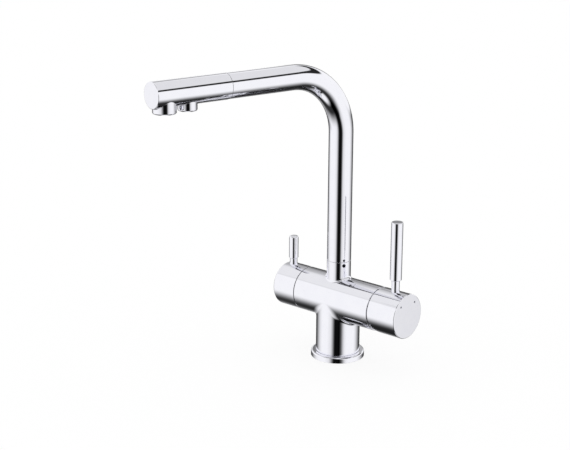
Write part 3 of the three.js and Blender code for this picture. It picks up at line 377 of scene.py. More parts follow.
def junction(skin, base, hostRadius, centre, postRadius, fillet, border, postStart, rows=6):
    # A post standing on a cylinder. The fillet has one radius at the post's sides along the cylinder and one
    # at its front and back. Returns the post's axes and its angles.
    places, angles = border[:, 0], border[:, 1]
    high, low = places.max() - centre, centre - places.min()
    across = (places - centre) / np.where(places > centre, high, low)
    turnAngle = np.arctan2(angles / angles.max(), across)
    turnAngle = np.unwrap(turnAngle)
    cos, sin = np.cos(turnAngle), np.sin(turnAngle)
    sideFillet, frontFillet = fillet
    size = sideFillet + (frontFillet - sideFillet) * np.abs(sin) ** junctionSettings["blend"]
    ballRound, ballHost = postRadius + size, hostRadius + size
    ball = np.stack([ballRound * cos, ballRound * sin, np.sqrt(ballHost ** 2 - (ballRound * sin) ** 2)], 1)
    inner = np.stack([centre + ball[:, 0], np.arctan2(ball[:, 1], ball[:, 2])], 1)
    share = np.linspace(0, 1, rows + 1)[:, None, None] ** junctionSettings["crowding"]
    window = inner * (1 - share) + border * share
    skin.grid(*cylinderAt(base, hostRadius, window[..., 0], window[..., 1]))
    foot = base["origin"] + centre * base["along"]
    post = {"origin": foot, "along": base["up"], "up": base["along"], "side": base["side"]}
    toPost = np.stack([-cos, -sin, 0 * cos], 1)
    toHost = -ball * [0, 1, 1]
    toHost /= np.linalg.norm(toHost, axis=1)[:, None]
    between = np.arccos(np.clip((toPost * toHost).sum(1), -1, 1))[:, None]
    rowsOut, normalsOut = [], []
    for t in np.linspace(0, 1, junctionSettings["filletRows"]):
        unit = (np.sin((1 - t) * between) * toHost + np.sin(t * between) * toPost) / np.sin(between)
        at = ball + size[:, None] * unit
        rowsOut.append(post["origin"] + mapped(base, at[:, 0], at[:, 2], at[:, 1]))
        normalsOut.append(-mapped(base, unit[:, 0], unit[:, 2], unit[:, 1]))
    skin.grid(np.array(rowsOut), np.array(normalsOut))
    heights = np.stack([ball[:, 2], np.full(len(cos), postStart)])
    skin.grid(*cylinderAt(post, postRadius, heights, np.stack([turnAngle, turnAngle])))
    return post, turnAngle


boreSettings = {
    "places": 9,
    "rows": 4,
    "reach": 0.65,      # of the stretch's length: how far round the hole its window goes to each side
}


def boredStretch(skin, base, radius, low, high, angles, hole):
    # A stretch of cylinder with a round blind hole halfway along it.
    places = np.linspace(low, high, boreSettings["places"])
    aim, size, centre = math.radians(hole["angle"]), hole["radius"], (low + high) / 2
    near = np.flatnonzero(np.abs(angles - aim) <= (high - low) / radius * boreSettings["reach"])
    first, last = near[0], near[-1]
    for part in (angles[:first + 1], angles[last:]):
        skin.grid(*cylinderAt(base, radius, places[:, None], part[None]))
    border = rim(places, angles[first:last + 1])
    heading = np.arctan2(radius * (border[:, 1] - aim), border[:, 0] - centre)
    cos, sin = np.cos(heading), np.sin(heading)
    mouth = np.stack([centre + size * cos, aim + np.arcsin(size * sin / radius)], 1)
    share = np.linspace(0, 1, boreSettings["rows"])[:, None, None]
    window = mouth * (1 - share) + border * share
    skin.grid(*cylinderAt(base, radius, window[..., 0], window[..., 1]))
    out = math.cos(aim) * base["up"] + math.sin(aim) * base["side"]
    across = math.cos(aim) * base["side"] - math.sin(aim) * base["up"]
    heart = base["origin"] + centre * base["along"]
    bore = {"origin": heart, "along": out, "up": base["along"], "side": across}
    floor = radius - hole["depth"]
    heights = np.stack([np.sqrt(radius ** 2 - (size * sin) ** 2), np.full(len(sin), floor)])
    points, normals = cylinderAt(bore, size, heights, np.stack([heading, heading]))
    skin.grid(points, -normals)
    turn(skin, bore, [(size, floor, 0, 1), (0, floor, 0, 1)], heading)


# Body casting

bodySettings = {
    "barrelRadius": 23,
    "barrelLeft": 42,
    "barrelRight": 55,
    "axisHeight": 64,
    "edge": 0.4,
    "collarRadius": 12.5,
    "collarTop": 105,
    "collarFillet": (3, 3),
    "collarHole": {"place": 101.5, "reach": 3, "angle": 26, "radius": 2, "depth": 2.3},
    "collarBore": 10,
    "collarBoreFloor": 70,
    "pedestalRadius": 22.9,
    "pedestalFillet": (3.5, 20),    # at the sides; at the front and back, where the two surfaces blend
    "footRecess": (19.8, 14.3),
    "cartridgeBores": [(19.4, 46.6), (17.8, 28.5)],
    "valveBore": (9.3, 20),
    "window": 30,           # half length of the stretch that holds the two junctions
    "topWindow": 60,        # degrees each side of the top
    "windowCounts": (33, 25, 49),   # points along the windows, over the top one and over the bottom one
    "collarStart": 33,      # from the axis, where each post is plain
    "pedestalStart": 40,
    "lip": 0.25,
    "mouth": 0.2,
}
barrelAxes = axes((0, 0, bodySettings["axisHeight"]), (1, 0, 0), (0, 0, 1))
leftAxes = axes(barrelAxes["origin"], (-1, 0, 0), (0, 0, 1))    # towards the filter handle


def makeBody():
    s = bodySettings
    skin = Skin()
    reach, top = s["window"], math.radians(s["topWindow"])
    radius, height = s["barrelRadius"], s["axisHeight"]
    alongCount, topCount, bottomCount = s["windowCounts"]
    along = np.linspace(-reach, reach, alongCount)
    over, beneath = np.linspace(-top, top, topCount), np.linspace(top - math.pi, math.pi - top, bottomCount)
    start, size, fillet = s["collarStart"], s["collarRadius"], s["collarFillet"]
    post, angles = junction(skin, barrelAxes, radius, 0, size, fillet, rim(along, over), start)
    collarTop, hole = s["collarTop"] - height, s["collarHole"]
    holeLow, holeHigh = (hole["place"] - height + side * hole["reach"] for side in (-1, 1))
    skin.grid(*cylinderAt(post, size, np.array([[start], [holeLow]]), angles[None]))
    boredStretch(skin, post, size, holeLow, holeHigh, angles, hole)
    collar = [
        (size, holeHigh),
        (size, collarTop, s["lip"]),
        (s["collarBore"], collarTop, s["lip"]),
        (s["collarBore"], s["collarBoreFloor"] - height),
        (0, s["collarBoreFloor"] - height),
    ]
    revolve(skin, post, collar, angles)
    under = flipped(barrelAxes)
    start, size, fillet = s["pedestalStart"], s["pedestalRadius"], s["pedestalFillet"]
    post, angles = junction(skin, under, radius, 0, size, fillet, rim(along, beneath), start)
    recess, depth = s["footRecess"]
    foot = [
        (size, start),
        (size, height, s["mouth"]),
        (recess, height, s["mouth"]),
        (recess, height - depth),
        (0, height - depth),
    ]
    revolve(skin, post, foot, angles)
    around = np.concatenate([over, np.linspace(top, fullTurn - top, bottomCount)[1:]])
    (wide, shoulder), (narrow, floor) = s["cartridgeBores"]
    right = [
        (radius, reach),
        (radius, s["barrelRight"], s["edge"]),
        (wide, s["barrelRight"], s["mouth"]),
        (wide, shoulder),
        (narrow, shoulder),
        (narrow, floor),
        (0, floor),
    ]
    revolve(skin, barrelAxes, right, around)
    bore, seat = s["valveBore"]
    left = [
        (radius, reach),
        (radius, s["barrelLeft"], s["edge"]),
        (bore, s["barrelLeft"], s["mouth"]),
        (bore, seat),
        (0, seat),
    ]
    revolve(skin, leftAxes, left, -around)
    return skin.build("bodyCasting", "platedChrome", "tap_body", "chrome", "body_casting", "pedestal")


makeBody()
print("body made")


# Foot

baseRingSettings = {
    "inner": 23.2,
    "outer": 28,
    "height": 6,
    "edge": 1.8,
    "innerEdge": 0.25,
    "footEdge": 0.15,
    "grooveInner": 23.7,
    "grooveOuter": 27.3,
    "groove": 2,
    "segments": 128,
}


def makeBaseRing():
    s = baseRingSettings
    corners = [
        (s["grooveInner"], 0),
        (s["inner"], 0),
        (s["inner"], s["height"], s["innerEdge"]),
        (s["outer"], s["height"], s["edge"]),
        (s["outer"], 0, s["footEdge"]),
        (s["grooveOuter"], 0),
        (s["grooveOuter"], s["groove"]),
        (s["grooveInner"], s["groove"]),
    ]
    base = uprightAt((0, 0, 0))
    dressing = ("platedChrome", "tap_body", "chrome", "base_ring")
    turnedPiece("baseRing", base, corners[::-1], *dressing, closed=True, segments=s["segments"])


makeBaseRing()
print("foot made")


# Spout

spoutSettings = {
    "swivelAtRest": 11.4,   # degrees from straight ahead, towards -X
    "pipeRadius": 12.5,
    "pipeWall": 1.5,
    "pipeBottom": 105.25,
    "firstBend": 113,       # a ring of pipe above the screw, so that its hole leaves the rest smooth
    "screwHole": {"height": 107.1, "aim": 64, "radius": 1.3, "depth": 4},
    "bendRadius": 62.5,
    "height": 302,
    "pipeEnd": 140.3,
    "roundCount": 96,
    "bendCount": 48,
    "drillSides": 32,
}
spoutWay = wayTowards(-spoutSettings["swivelAtRest"])
spoutAxes = axes((0, 0, spoutSettings["height"]), spoutWay, (0, 0, 1))


def newTree(name, shape, floats, others):
    # A tree that takes a shape, named sizes and a material. Returns it with what it is given.
    tree = bpy.data.node_groups.new(name, "GeometryNodeTree")
    kinds = [(shape, "Geometry"), *((item, "Float") for item in floats), *others, ("Material", "Material")]
    for item, kind in kinds:
        tree.interface.new_socket(item, in_out="INPUT", socket_type="NodeSocket" + kind)
    tree.interface.new_socket("Result", in_out="OUTPUT", socket_type="NodeSocketGeometry")
    return tree, addNode(tree, "NodeGroupInput").outputs


def endTree(tree, geometry, material):
    real = addNode(tree, "GeometryNodeRealizeInstances", {"Geometry": geometry})
    done = addNode(tree, "GeometryNodeSetMaterial", {"Geometry": real, "Material": material})
    addNode(tree, "NodeGroupOutput", {"Result": done})
    return tree


cutAway = {"operation": "DIFFERENCE", "solver": "EXACT"}    # the settings of each boolean


def pipeTree():
    # Sweeps a ring of metal along a route whose corner is rounded to the bend radius, and drills one hole.
    floats = ("Radius", "Bore", "Bend Radius", "Hole Radius", "Hole Depth")
    vectors = [("Hole Place", "Vector"), ("Hole Way", "Vector")]
    counts = [("Round Count", "Int"), ("Bend Count", "Int"), ("Drill Sides", "Int")]
    tree, given = newTree("pipeSweep", "Route", floats, vectors + counts)
    corner = {"Curve": given["Route"], "Radius": given["Bend Radius"], "Count": given["Bend Count"]}
    bent = addNode(tree, "GeometryNodeFilletCurve", corner, mode="POLY")
    walls = []
    for size in ("Radius", "Bore"):
        ring = {"Radius": given[size], "Resolution": given["Round Count"]}
        circle = addNode(tree, "GeometryNodeCurvePrimitiveCircle", ring)
        sweep = {"Curve": bent, "Profile Curve": circle, "Fill Caps": True}
        walls.append(addNode(tree, "GeometryNodeCurveToMesh", sweep))
    bit = {"Vertices": given["Drill Sides"], "Radius": given["Hole Radius"], "Depth": given["Hole Depth"]}
    drill = addNode(tree, "GeometryNodeMeshCylinder", bit)
    aim = addNode(tree, "FunctionNodeAlignRotationToVector", {"Vector": given["Hole Way"]}, axis="Z")
    place = {"Geometry": drill, "Translation": given["Hole Place"], "Rotation": aim}
    drill = addNode(tree, "GeometryNodeTransform", place)
    parts = {"Mesh 1": walls[0], "Mesh 2": [walls[1], drill]}
    hollow = addNode(tree, "GeometryNodeMeshBoolean", parts, **cutAway)
    return endTree(tree, hollow, given["Material"])


def grownPiece(name, base, tree, values, body, slot, *replaced, sharpAngle=30):
    # Runs a tree on an object and keeps the result as a plain mesh.
    maker = bpy.data.objects.new(name + "Maker", base)
    bpy.context.scene.collection.objects.link(maker)
    modifier = maker.modifiers.new("grow", "NODES")
    modifier.node_group = tree
    for item in tree.interface.items_tree:
        if item.in_out == "INPUT" and item.name in values:
            modifier[item.identifier] = values[item.name]
    evaluated = maker.evaluated_get(bpy.context.evaluated_depsgraph_get())
    mesh = bpy.data.meshes.new_from_object(evaluated)
    maker.modifiers.remove(modifier)
    bpy.data.objects.remove(maker)
    mesh.shade_smooth()
    mesh.set_sharp_from_angle(angle=math.radians(sharpAngle))
    piece = bpy.data.objects.new(name, mesh)
    bpy.context.scene.collection.objects.link(piece)
    return dress(piece, body, slot, *replaced)


def makePipe():
    s = spoutSettings
    route = bpy.data.curves.new("spoutRoute", "CURVE")
    route.dimensions = "3D"
    spline = route.splines.new("POLY")
    spline.points.add(3)
    tip = s["pipeEnd"] * spoutWay[:2]
    stops = [(0, 0, s["pipeBottom"]), (0, 0, s["firstBend"]), (0, 0, s["height"]), (*tip, s["height"])]
    hole = s["screwHole"]
    way = wayTowards(hole["aim"])
    for point, stop in zip(spline.points, stops):
        point.co = (*(v * mm for v in stop), 1)
    values = {
        "Radius": s["pipeRadius"] * mm,
        "Bore": (s["pipeRadius"] - s["pipeWall"]) * mm,
        "Bend Radius": s["bendRadius"] * mm,
        "Hole Radius": hole["radius"] * mm,
        "Hole Depth": hole["depth"] * mm,
        "Hole Place": tuple((s["pipeRadius"] * way + np.array([0, 0, hole["height"]])) * mm),
        "Hole Way": tuple(way),
        "Round Count": s["roundCount"],
        "Bend Count": s["bendCount"],
        "Drill Sides": s["drillSides"],
        "Material": materials["platedChrome"],
    }
    grownPiece("spoutPipe", route, pipeTree(), values, "spout", "chrome", "spout_pipe")


washerSettings = {"inner": 10.2, "outer": 12.3, "height": 0.2, "edge": 0.05}


def makeWasher():
    s = washerSettings
    inner, outer, height, edge = (s[key] for key in ("inner", "outer", "height", "edge"))
    corners = [(inner, 0), (outer, 0, edge), (outer, height, edge), (inner, height)]
    base = uprightAt((0, 0, bodySettings["collarTop"]))
    dressing = ("blackAcetal", "tap_body", "black_plastic", "swivel_washer")
    turnedPiece("swivelWasher", base, corners, *dressing, closed=True)


makePipe()
makeWasher()
print("spout pipe made")

headSettings = {
    "radius": 12.75,
    "start": 140.7,
    "end": 222.5,
    "tipEdge": 0.8,
    "startEdge": 0.25,
    "bore": (11, 153.1),
    "fillet": (0.7, 0.7),
    "hole": {"place": 143.8, "reach": 2.8, "angle": 0, "radius": 1.8, "depth": 1.4},
    "drop": 18,
    "boreEdge": 0.2,
    "outletEdge": (0.7, 1),     # inwards and upwards
    "outletRounds": (0.9, 0.3, 0.05),   # above the edge, below it and at the mouth
    "outletWall": 1.6,
    "outletStart": 14,          # from the head's axis, where the outlet is plain
    "recess": 9.6,
    # name: place along the head, radius and the stretch of head that its junction takes
    "outlets": {"filter": (183.6, 9.3, 171.6, 195.1), "mains": (208.6, 11.3, 195.1, 220.85)},
    "steps": 25,
    "holeSteps": 9,
    "windowRows": 4,
}


def makeHead():
    s = headSettings
    skin = Skin()
    under = flipped(spoutAxes)
    radius, hole = s["radius"], s["hole"]
    holeLow, holeHigh = hole["place"] - hole["reach"], hole["place"] + hole["reach"]
    stops = [s["start"] + s["startEdge"], *np.linspace(holeLow, holeHigh, s["holeSteps"])]
    inset, rise = s["outletEdge"]
    upper, lower, mouth = s["outletRounds"]
    halfRound = np.linspace(-math.pi / 2, math.pi / 2, s["steps"])
    for centre, size, low, high in s["outlets"].values():
        stretch = np.linspace(low, high, s["steps"])
        sizes = (centre, size, s["fillet"], rim(stretch, halfRound), s["outletStart"])
        post, angles = junction(skin, under, radius, *sizes, rows=s["windowRows"])
        inner = size - s["outletWall"]
        boss = [
            (size, s["outletStart"]),
            (size, s["drop"] - rise, upper),
            (size - inset, s["drop"], lower),
            (inner, s["drop"], mouth),
            (inner, s["drop"] - s["recess"]),
            (0, s["drop"] - s["recess"]),
        ]
        revolve(skin, post, boss, angles)
        stops.extend(stretch if low != stops[-1] else stretch[1:])
    stops.append(s["end"] - s["tipEdge"])
    skin.grid(*cylinderAt(spoutAxes, radius, np.array(stops)[:, None], halfRound[None]))
    firstWindow = min(low for _, _, low, _ in s["outlets"].values())
    for low, high in ((stops[0], holeLow), (holeHigh, firstWindow), (stops[-2], stops[-1])):
        skin.grid(*cylinderAt(under, radius, np.array([low, high])[:, None], halfRound[None]))
    boredStretch(skin, under, radius, holeLow, holeHigh, halfRound, hole)
    around = np.concatenate([halfRound, halfRound[1:] + math.pi])
    (bore, depth), start = s["bore"], s["start"]
    ends = [
        [(bore, depth), (bore, start, s["boreEdge"]), (radius, start, s["startEdge"]), (radius, stops[0])],
        [(0, depth), (bore, depth)],
        [(radius, stops[-1]), (radius, s["end"], s["tipEdge"]), (0, s["end"])],
    ]
    for corners in ends:
        revolve(skin, spoutAxes, corners, around)
    return skin.build("spoutHead", "platedChrome", "spout", "chrome", "spout_head")


makeHead()
print("spout head made")

aeratorSettings = {
    "inset": 0.4,
    "depth": 7.7,
    "wall": 1.4,
    "lip": 1,
    "gap": 0.3,
    "innerEdge": 0.15,
    "outerEdge": 0.35,
}


def makeAeratorSleeve(name):
    s = aeratorSettings
    centre, outletRadius, _, _ = headSettings["outlets"][name]
    outer = outletRadius - headSettings["outletWall"] - s["gap"]
    inner = outer - s["wall"]
    foot = spoutAxes["origin"] + centre * spoutWay - (0, 0, headSettings["drop"])
    corners = [
        (inner - s["lip"], s["inset"], s["innerEdge"]),
        (outer, s["inset"], s["outerEdge"]),
        (outer, s["depth"]),
        (inner, s["depth"]),
        (inner, s["inset"] + s["lip"]),
        (inner - s["lip"], s["inset"] + s["lip"], s["innerEdge"]),
    ]
    dressing = ("platedChrome", "spout", "chrome", name + "_aerator_sleeve")
    turnedPiece(name + "AeratorSleeve", uprightAt(foot), corners, *dressing, closed=True)


for name in headSettings["outlets"]:
    makeAeratorSleeve(name)
print("outlets made")


# Mixer handle

domeSettings = {
    "inner": 19.4,
    "start": 55.3,
    "trimRadius": 22.1,
    "trimEnd": 57,
    "trimEdge": 0.2,
    "radius": 20.6,
    "mouth": 17.2,
    "length": 8,
    "wall": 1.2,
    "steps": 13,
    "segments": 96,
}


def makeDome():
    s = domeSettings
    skin = Skin()
    circle = fullCircle(s["segments"])
    trim, start, trimEnd = s["trimRadius"], s["start"], s["trimEnd"]
    collar = [(s["inner"], start), (trim, start), (trim, trimEnd, s["trimEdge"]), (s["radius"], trimEnd)]
    revolve(skin, barrelAxes, collar, circle)
    rise = s["radius"] - s["mouth"]
    for shrink, side in ((0, 1), (s["wall"], -1)):
        strip = []
        for t in np.linspace(0, math.pi / 2, s["steps"]):
            normal = np.array([math.cos(t) / rise, math.sin(t) / s["length"]])
            normal *= side / np.linalg.norm(normal)
            place = trimEnd + s["length"] * math.sin(t)
            strip.append((s["mouth"] + rise * math.cos(t) - shrink, place, *normal))
        turn(skin, barrelAxes, strip, circle)
    mouthEnd = trimEnd + s["length"]
    turn(skin, barrelAxes, [(s["mouth"] - s["wall"], mouthEnd, 0, 1), (s["mouth"], mouthEnd, 0, 1)], circle)
    inside = [(s["radius"] - s["wall"], trimEnd, -1, 0), (s["inner"], start, -1, 0)]
    turn(skin, barrelAxes, inside, circle)
    return skin.build("mixerDome", "platedChrome", "tap_body", "chrome", "mixer_dome")


mixerCapSettings = {
    "radius": 23,
    "start": 57.35,
    "end": 90,
    "edge": 0.8,
    "wall": 1.6,
    "roof": 69.55,
    "reliefAngle": 21.5,
    "reliefFace": 3.25,
    "pivot": (54, -7),      # along the barrel, and from its axis
    "plainFrom": 66,
    "hole": {"place": 79, "reach": 3.4, "angle": 180, "radius": 2.3, "depth": 12},
    "segments": 144,
}


def makeMixerCap():
    s = mixerCapSettings
    skin = Skin()
    circle = fullCircle(s["segments"])
    tilt = math.radians(s["reliefAngle"])
    pivotPlace, pivotRise = s["pivot"]
    inner = s["radius"] - s["wall"]

    def start(radius):
        rise = radius * np.cos(circle) - pivotRise
        return np.maximum(s["start"], pivotPlace + (s["reliefFace"] - rise * math.sin(tilt)) / math.cos(tilt))

    outerStart, innerStart = start(s["radius"]), start(inner)
    twice = np.stack([circle, circle])
    outerRows = np.stack([outerStart, np.full(len(circle), s["plainFrom"])])
    skin.grid(*cylinderAt(barrelAxes, s["radius"], outerRows, twice))
    innerRows = np.stack([innerStart, np.full(len(circle), s["roof"])])
    points, normals = cylinderAt(barrelAxes, inner, innerRows, twice)
    skin.grid(points, -normals)
    edgePoints = np.stack([
        cylinderAt(barrelAxes, s["radius"], outerStart, circle)[0],
        cylinderAt(barrelAxes, inner, innerStart, circle)[0],
    ])
    cutNormal = -(math.sin(tilt) * barrelAxes["up"] + math.cos(tilt) * barrelAxes["along"])
    isCut = (outerStart > s["start"] + tiny)[None, :, None]
    edgeNormals = np.where(isCut, cutNormal, -barrelAxes["along"])
    skin.grid(edgePoints, np.broadcast_to(edgeNormals, edgePoints.shape))
    turn(skin, barrelAxes, [(inner, s["roof"], 0, -1), (0, s["roof"], 0, -1)], circle)
    hole = s["hole"]
    low, high = hole["place"] - hole["reach"], hole["place"] + hole["reach"]
    plain = np.array([[s["plainFrom"]], [low]])
    skin.grid(*cylinderAt(barrelAxes, s["radius"], plain, circle[None]))
    boredStretch(skin, barrelAxes, s["radius"], low, high, circle, hole)
    outside = [(s["radius"], high), (s["radius"], s["end"], s["edge"]), (0, s["end"])]
    revolve(skin, barrelAxes, outside, circle)
    return skin.build("mixerCap", "platedChrome", "mixer_handle", "chrome", "mixer_handle_cap")


leverSettings = {
    "mixer": {"place": 74, "neck": 4.1, "neckTop": 34.7, "grip": 6, "top": 95.8, "edge": 0.8},
    "filter": {"place": -62.5, "neck": 4, "neckTop": 29.5, "grip": 5, "top": 54, "edge": 2},
    "seat": 22.5,
    "studRadius": 3,
    "studLength": 8,
    "shoulderRound": 0.35,
    "neckEdge": 0.1,
    "segments": 64,
}


def makeLever(name):
    s, own = leverSettings, leverSettings[name]
    base = uprightAt((own["place"], 0, bodySettings["axisHeight"]))
    step = (own["grip"] - own["neck"]) / 2
    corners = [
        (0, s["seat"] - s["studLength"]),
        (s["studRadius"], s["seat"] - s["studLength"]),
        (s["studRadius"], s["seat"]),
        (own["neck"], s["seat"], s["neckEdge"]),
        (own["neck"], own["neckTop"], s["shoulderRound"]),
        (own["grip"], own["neckTop"] + step, s["shoulderRound"]),
        (own["grip"], own["top"], own["edge"]),
        (0, own["top"]),
    ]
    dressing = ("platedChrome", name + "_handle", "chrome", name + "_lever")
    turnedPiece(name + "Lever", base, corners, *dressing, segments=s["segments"])


indicatorSettings = {
    "radius": 1.1,
    "height": 0.12,
    "depth": 0.3,
    "edge": 0.1,
    "ring": 17,
    "angle": 41.5,
    "segments": 32,
}


def makeIndicator(name, side):
    s = indicatorSettings
    angle = math.radians(side * s["angle"])
    across, rise = -s["ring"] * math.sin(angle), s["ring"] * math.cos(angle)
    base = axes((mixerCapSettings["end"], across, bodySettings["axisHeight"] + rise), (1, 0, 0), (0, 0, 1))
    radius, height, depth = s["radius"], s["height"], s["depth"]
    corners = [(0, -depth), (radius, -depth), (radius, height, s["edge"]), (0, height)]
    dressing = ("markGrey", "mixer_handle", "grey_enamel", name + "_indicator")
    turnedPiece(name + "Indicator", base, corners, *dressing, segments=s["segments"])


makeDome()
makeMixerCap()
makeLever("mixer")
makeIndicator("cold", 1)
makeIndicator("hot", -1)
print("mixer handle made")


# Filter handle

filterCapSettings = {
    "radius": 23,
    "start": 42.7,
    "end": 71.5,
    "edge": 2,
    "wall": 2.5,
    "roof": 57,
    "roofEdge": 0.5,
    "innerEdge": 0.15,
    "outerEdge": 0.25,
    "hole": {"place": 62.5, "reach": 3.4, "angle": 180, "radius": 2.3, "depth": 16},
    "segments": 144,
}


def makeFilterCap():
    s = filterCapSettings
    skin = Skin()
    circle = fullCircle(s["segments"])
    radius, inner, hole = s["radius"], s["radius"] - s["wall"], s["hole"]
    low, high = hole["place"] - hole["reach"], hole["place"] + hole["reach"]
    inside = [
        (0, s["roof"]),
        (inner, s["roof"], s["roofEdge"]),
        (inner, s["start"], s["innerEdge"]),
        (radius, s["start"], s["outerEdge"]),
        (radius, low),
    ]
    outside = [(radius, high), (radius, s["end"], s["edge"]), (0, s["end"])]
    revolve(skin, leftAxes, inside, circle)
    revolve(skin, leftAxes, outside, circle)
    boredStretch(skin, leftAxes, radius, low, high, circle, hole)
    return skin.build("filterCap", "platedChrome", "filter_handle", "chrome", "filter_handle_cap")


makeFilterCap()
makeLever("filter")
print("filter handle made")


# Socket screws, all from one tree: each stands at a point of its base, sunk in its hole

grubWay = wayTowards(spoutSettings["screwHole"]["aim"])
screwSettings = {
    "sides": 32,
    "socket": 0.58,         # of the screw's radius
    "socketDepth": 0.4,     # of its length
    # piece: body, the node it replaces, then each screw's face centre, way out, radius and length
    "screws": {
        "collarScrew": ("tap_body", "collar_grub_screw", [
            (12.2 * grubWay + (0, 0, 101.5), grubWay, 1.7, 3.6),
        ]),
        "spoutScrews": ("spout", "head_grub_screw", [
            (143.8 * spoutWay + (0, 0, 289.55), (0, 0, -1), 1.5, 2.35),
            (12.3 * grubWay + (0, 0, 107.1), grubWay, 1.2, 1.2),
        ]),
        "mixerHandleScrew": ("mixer_handle", "mixer_handle_screw", [((79, 0, 45.4), (0, 0, -1), 2, 8)]),
        "filterHandleScrew": ("filter_handle", "filter_handle_screw", [
            ((-62.5, 0, 52.9), (0, 0, -1), 2, 8),
        ]),
    },
}


def screwTree():
    # A screw one unit wide and long, cut by a hexagon, and stretched at each point to that point's size.
    tree, given = newTree("socketScrews", "Points", ("Socket", "Socket Depth"), [("Sides", "Int")])
    bar = {"Vertices": given["Sides"], "Radius": 1.0, "Depth": 1.0}
    shank = addNode(tree, "GeometryNodeMeshCylinder", bar)
    sunk = addNode(tree, "GeometryNodeTransform", {"Geometry": shank, "Translation": (0, 0, -0.5)})
    keyLength = addNode(tree, "ShaderNodeMath", {0: given["Socket Depth"], 1: 2.0}, operation="MULTIPLY")
    key = {"Vertices": 6, "Radius": given["Socket"], "Depth": keyLength}    # half of it stands out
    hexagon = addNode(tree, "GeometryNodeMeshCylinder", key)
    screw = addNode(tree, "GeometryNodeMeshBoolean", {"Mesh 1": sunk, "Mesh 2": hexagon}, **cutAway)
    out = addNode(tree, "GeometryNodeInputNamedAttribute", {"Name": "out"}, data_type="FLOAT_VECTOR")
    size = addNode(tree, "GeometryNodeInputNamedAttribute", {"Name": "size"}, data_type="FLOAT_VECTOR")
    aim = addNode(tree, "FunctionNodeAlignRotationToVector", {"Vector": out}, axis="Z")
    each = {"Instance": screw, "Rotation": aim, "Scale": size}
    screws = addNode(tree, "GeometryNodeInstanceOnPoints", {"Points": given["Points"], **each})
    return endTree(tree, screws, given["Material"])


def makeScrews():
    s = screwSettings
    tree = screwTree()
    values = {
        "Socket": s["socket"],
        "Socket Depth": s["socketDepth"],
        "Sides": s["sides"],
        "Material": materials["nearBlackSteel"],
    }
    for name, (body, node, screws) in s["screws"].items():
        base = bpy.data.meshes.new(name + "Points")
        base.from_pydata([tuple(np.array(place) * mm) for place, _, _, _ in screws], [], [])
        ways = base.attributes.new("out", "FLOAT_VECTOR", "POINT")
        sizes = base.attributes.new("size", "FLOAT_VECTOR", "POINT")
        for i, (_, way, radius, length) in enumerate(screws):
            ways.data[i].vector = way
            sizes.data[i].vector = (radius * mm, radius * mm, length * mm)
        grownPiece(name, base, tree, values, body, "steel", node)


makeScrews()
print("screws made")


# Jet plates: a disc in each aerator, cut by a jet at every point of its base

jetSettings = {
    "low": 1.5,         # the plate's underside and top, above the outlet's end
    "high": 7.7,
    "sides": 64,
    "jetSides": 20,
    "overrun": 1.5,     # the jets' length, of the plate's depth
    "plates": {
        "mains": {"radius": 7.9, "jet": 0.8, "pitch": 2.7, "rings": 2},
        "filter": {"radius": 5.9, "jet": 0.9, "pitch": 2.8, "rings": 1},
    },
}


def plateTree():
    floats = ("Radius", "Depth", "Jet Radius", "Jet Length")
    others = [("Place", "Vector"), ("Sides", "Int"), ("Jet Sides", "Int")]
    tree, given = newTree("jetPlate", "Points", floats, others)
    disc = {"Vertices": given["Sides"], "Radius": given["Radius"], "Depth": given["Depth"]}
    plate = addNode(tree, "GeometryNodeMeshCylinder", disc)
    placed = addNode(tree, "GeometryNodeTransform", {"Geometry": plate, "Translation": given["Place"]})
    bit = {"Vertices": given["Jet Sides"], "Radius": given["Jet Radius"], "Depth": given["Jet Length"]}
    jet = addNode(tree, "GeometryNodeMeshCylinder", bit)
    jets = addNode(tree, "GeometryNodeInstanceOnPoints", {"Points": given["Points"], "Instance": jet})
    cutters = addNode(tree, "GeometryNodeRealizeInstances", {"Geometry": jets})
    pierced = addNode(tree, "GeometryNodeMeshBoolean", {"Mesh 1": placed, "Mesh 2": cutters}, **cutAway)
    return endTree(tree, pierced, given["Material"])


def makeJetPlates():
    s = jetSettings
    tree = plateTree()
    depth = s["high"] - s["low"]
    middle = spoutAxes["origin"] + (0, 0, (s["low"] + s["high"]) / 2 - headSettings["drop"])
    for name, plate in s["plates"].items():
        centre = middle + headSettings["outlets"][name][0] * spoutWay
        points = [centre]
        for ring in range(1, plate["rings"] + 1):
            for k in range(6 * ring):
                turned = fullTurn * k / (6 * ring)
                way = np.array([math.cos(turned), math.sin(turned), 0])
                points.append(centre + ring * plate["pitch"] * way)
        base = bpy.data.meshes.new(name + "JetPoints")
        base.from_pydata([tuple(p * mm) for p in points], [], [])
        values = {
            "Radius": plate["radius"] * mm,
            "Depth": depth * mm,
            "Jet Radius": plate["jet"] * mm,
            "Jet Length": s["overrun"] * depth * mm,
            "Place": tuple(centre * mm),
            "Sides": s["sides"],
            "Jet Sides": s["jetSides"],
            "Material": materials["blackAcetal"],
        }
        grownPiece(name + "JetPlate", base, tree, values, "spout", "black_plastic", name + "_aerator_insert")


makeJetPlates()
print("jet plates made")


# Studio, in metres: a white floor and world, and a light tent whose dark flags give polished metal its lines

studioSettings = {
    "floorSize": 30,
    "floorGlow": 0.86,      # of the white that the camera sees; the rest of it takes the shadow
    "floorColour": "#e6e6e8",   # as its light falls on the tap
    "tentRadius": 12,
    "tentHeight": 0.15,
    "tentCounts": (64, 32),
    "netRadius": 0.55,      # a dark net that hangs near, all round the tap
    "netReach": 1,
    "netCount": 128,
    "tentAzimuth": 39.3,    # degrees from -Y towards +X: where the front flag's zero lies
}
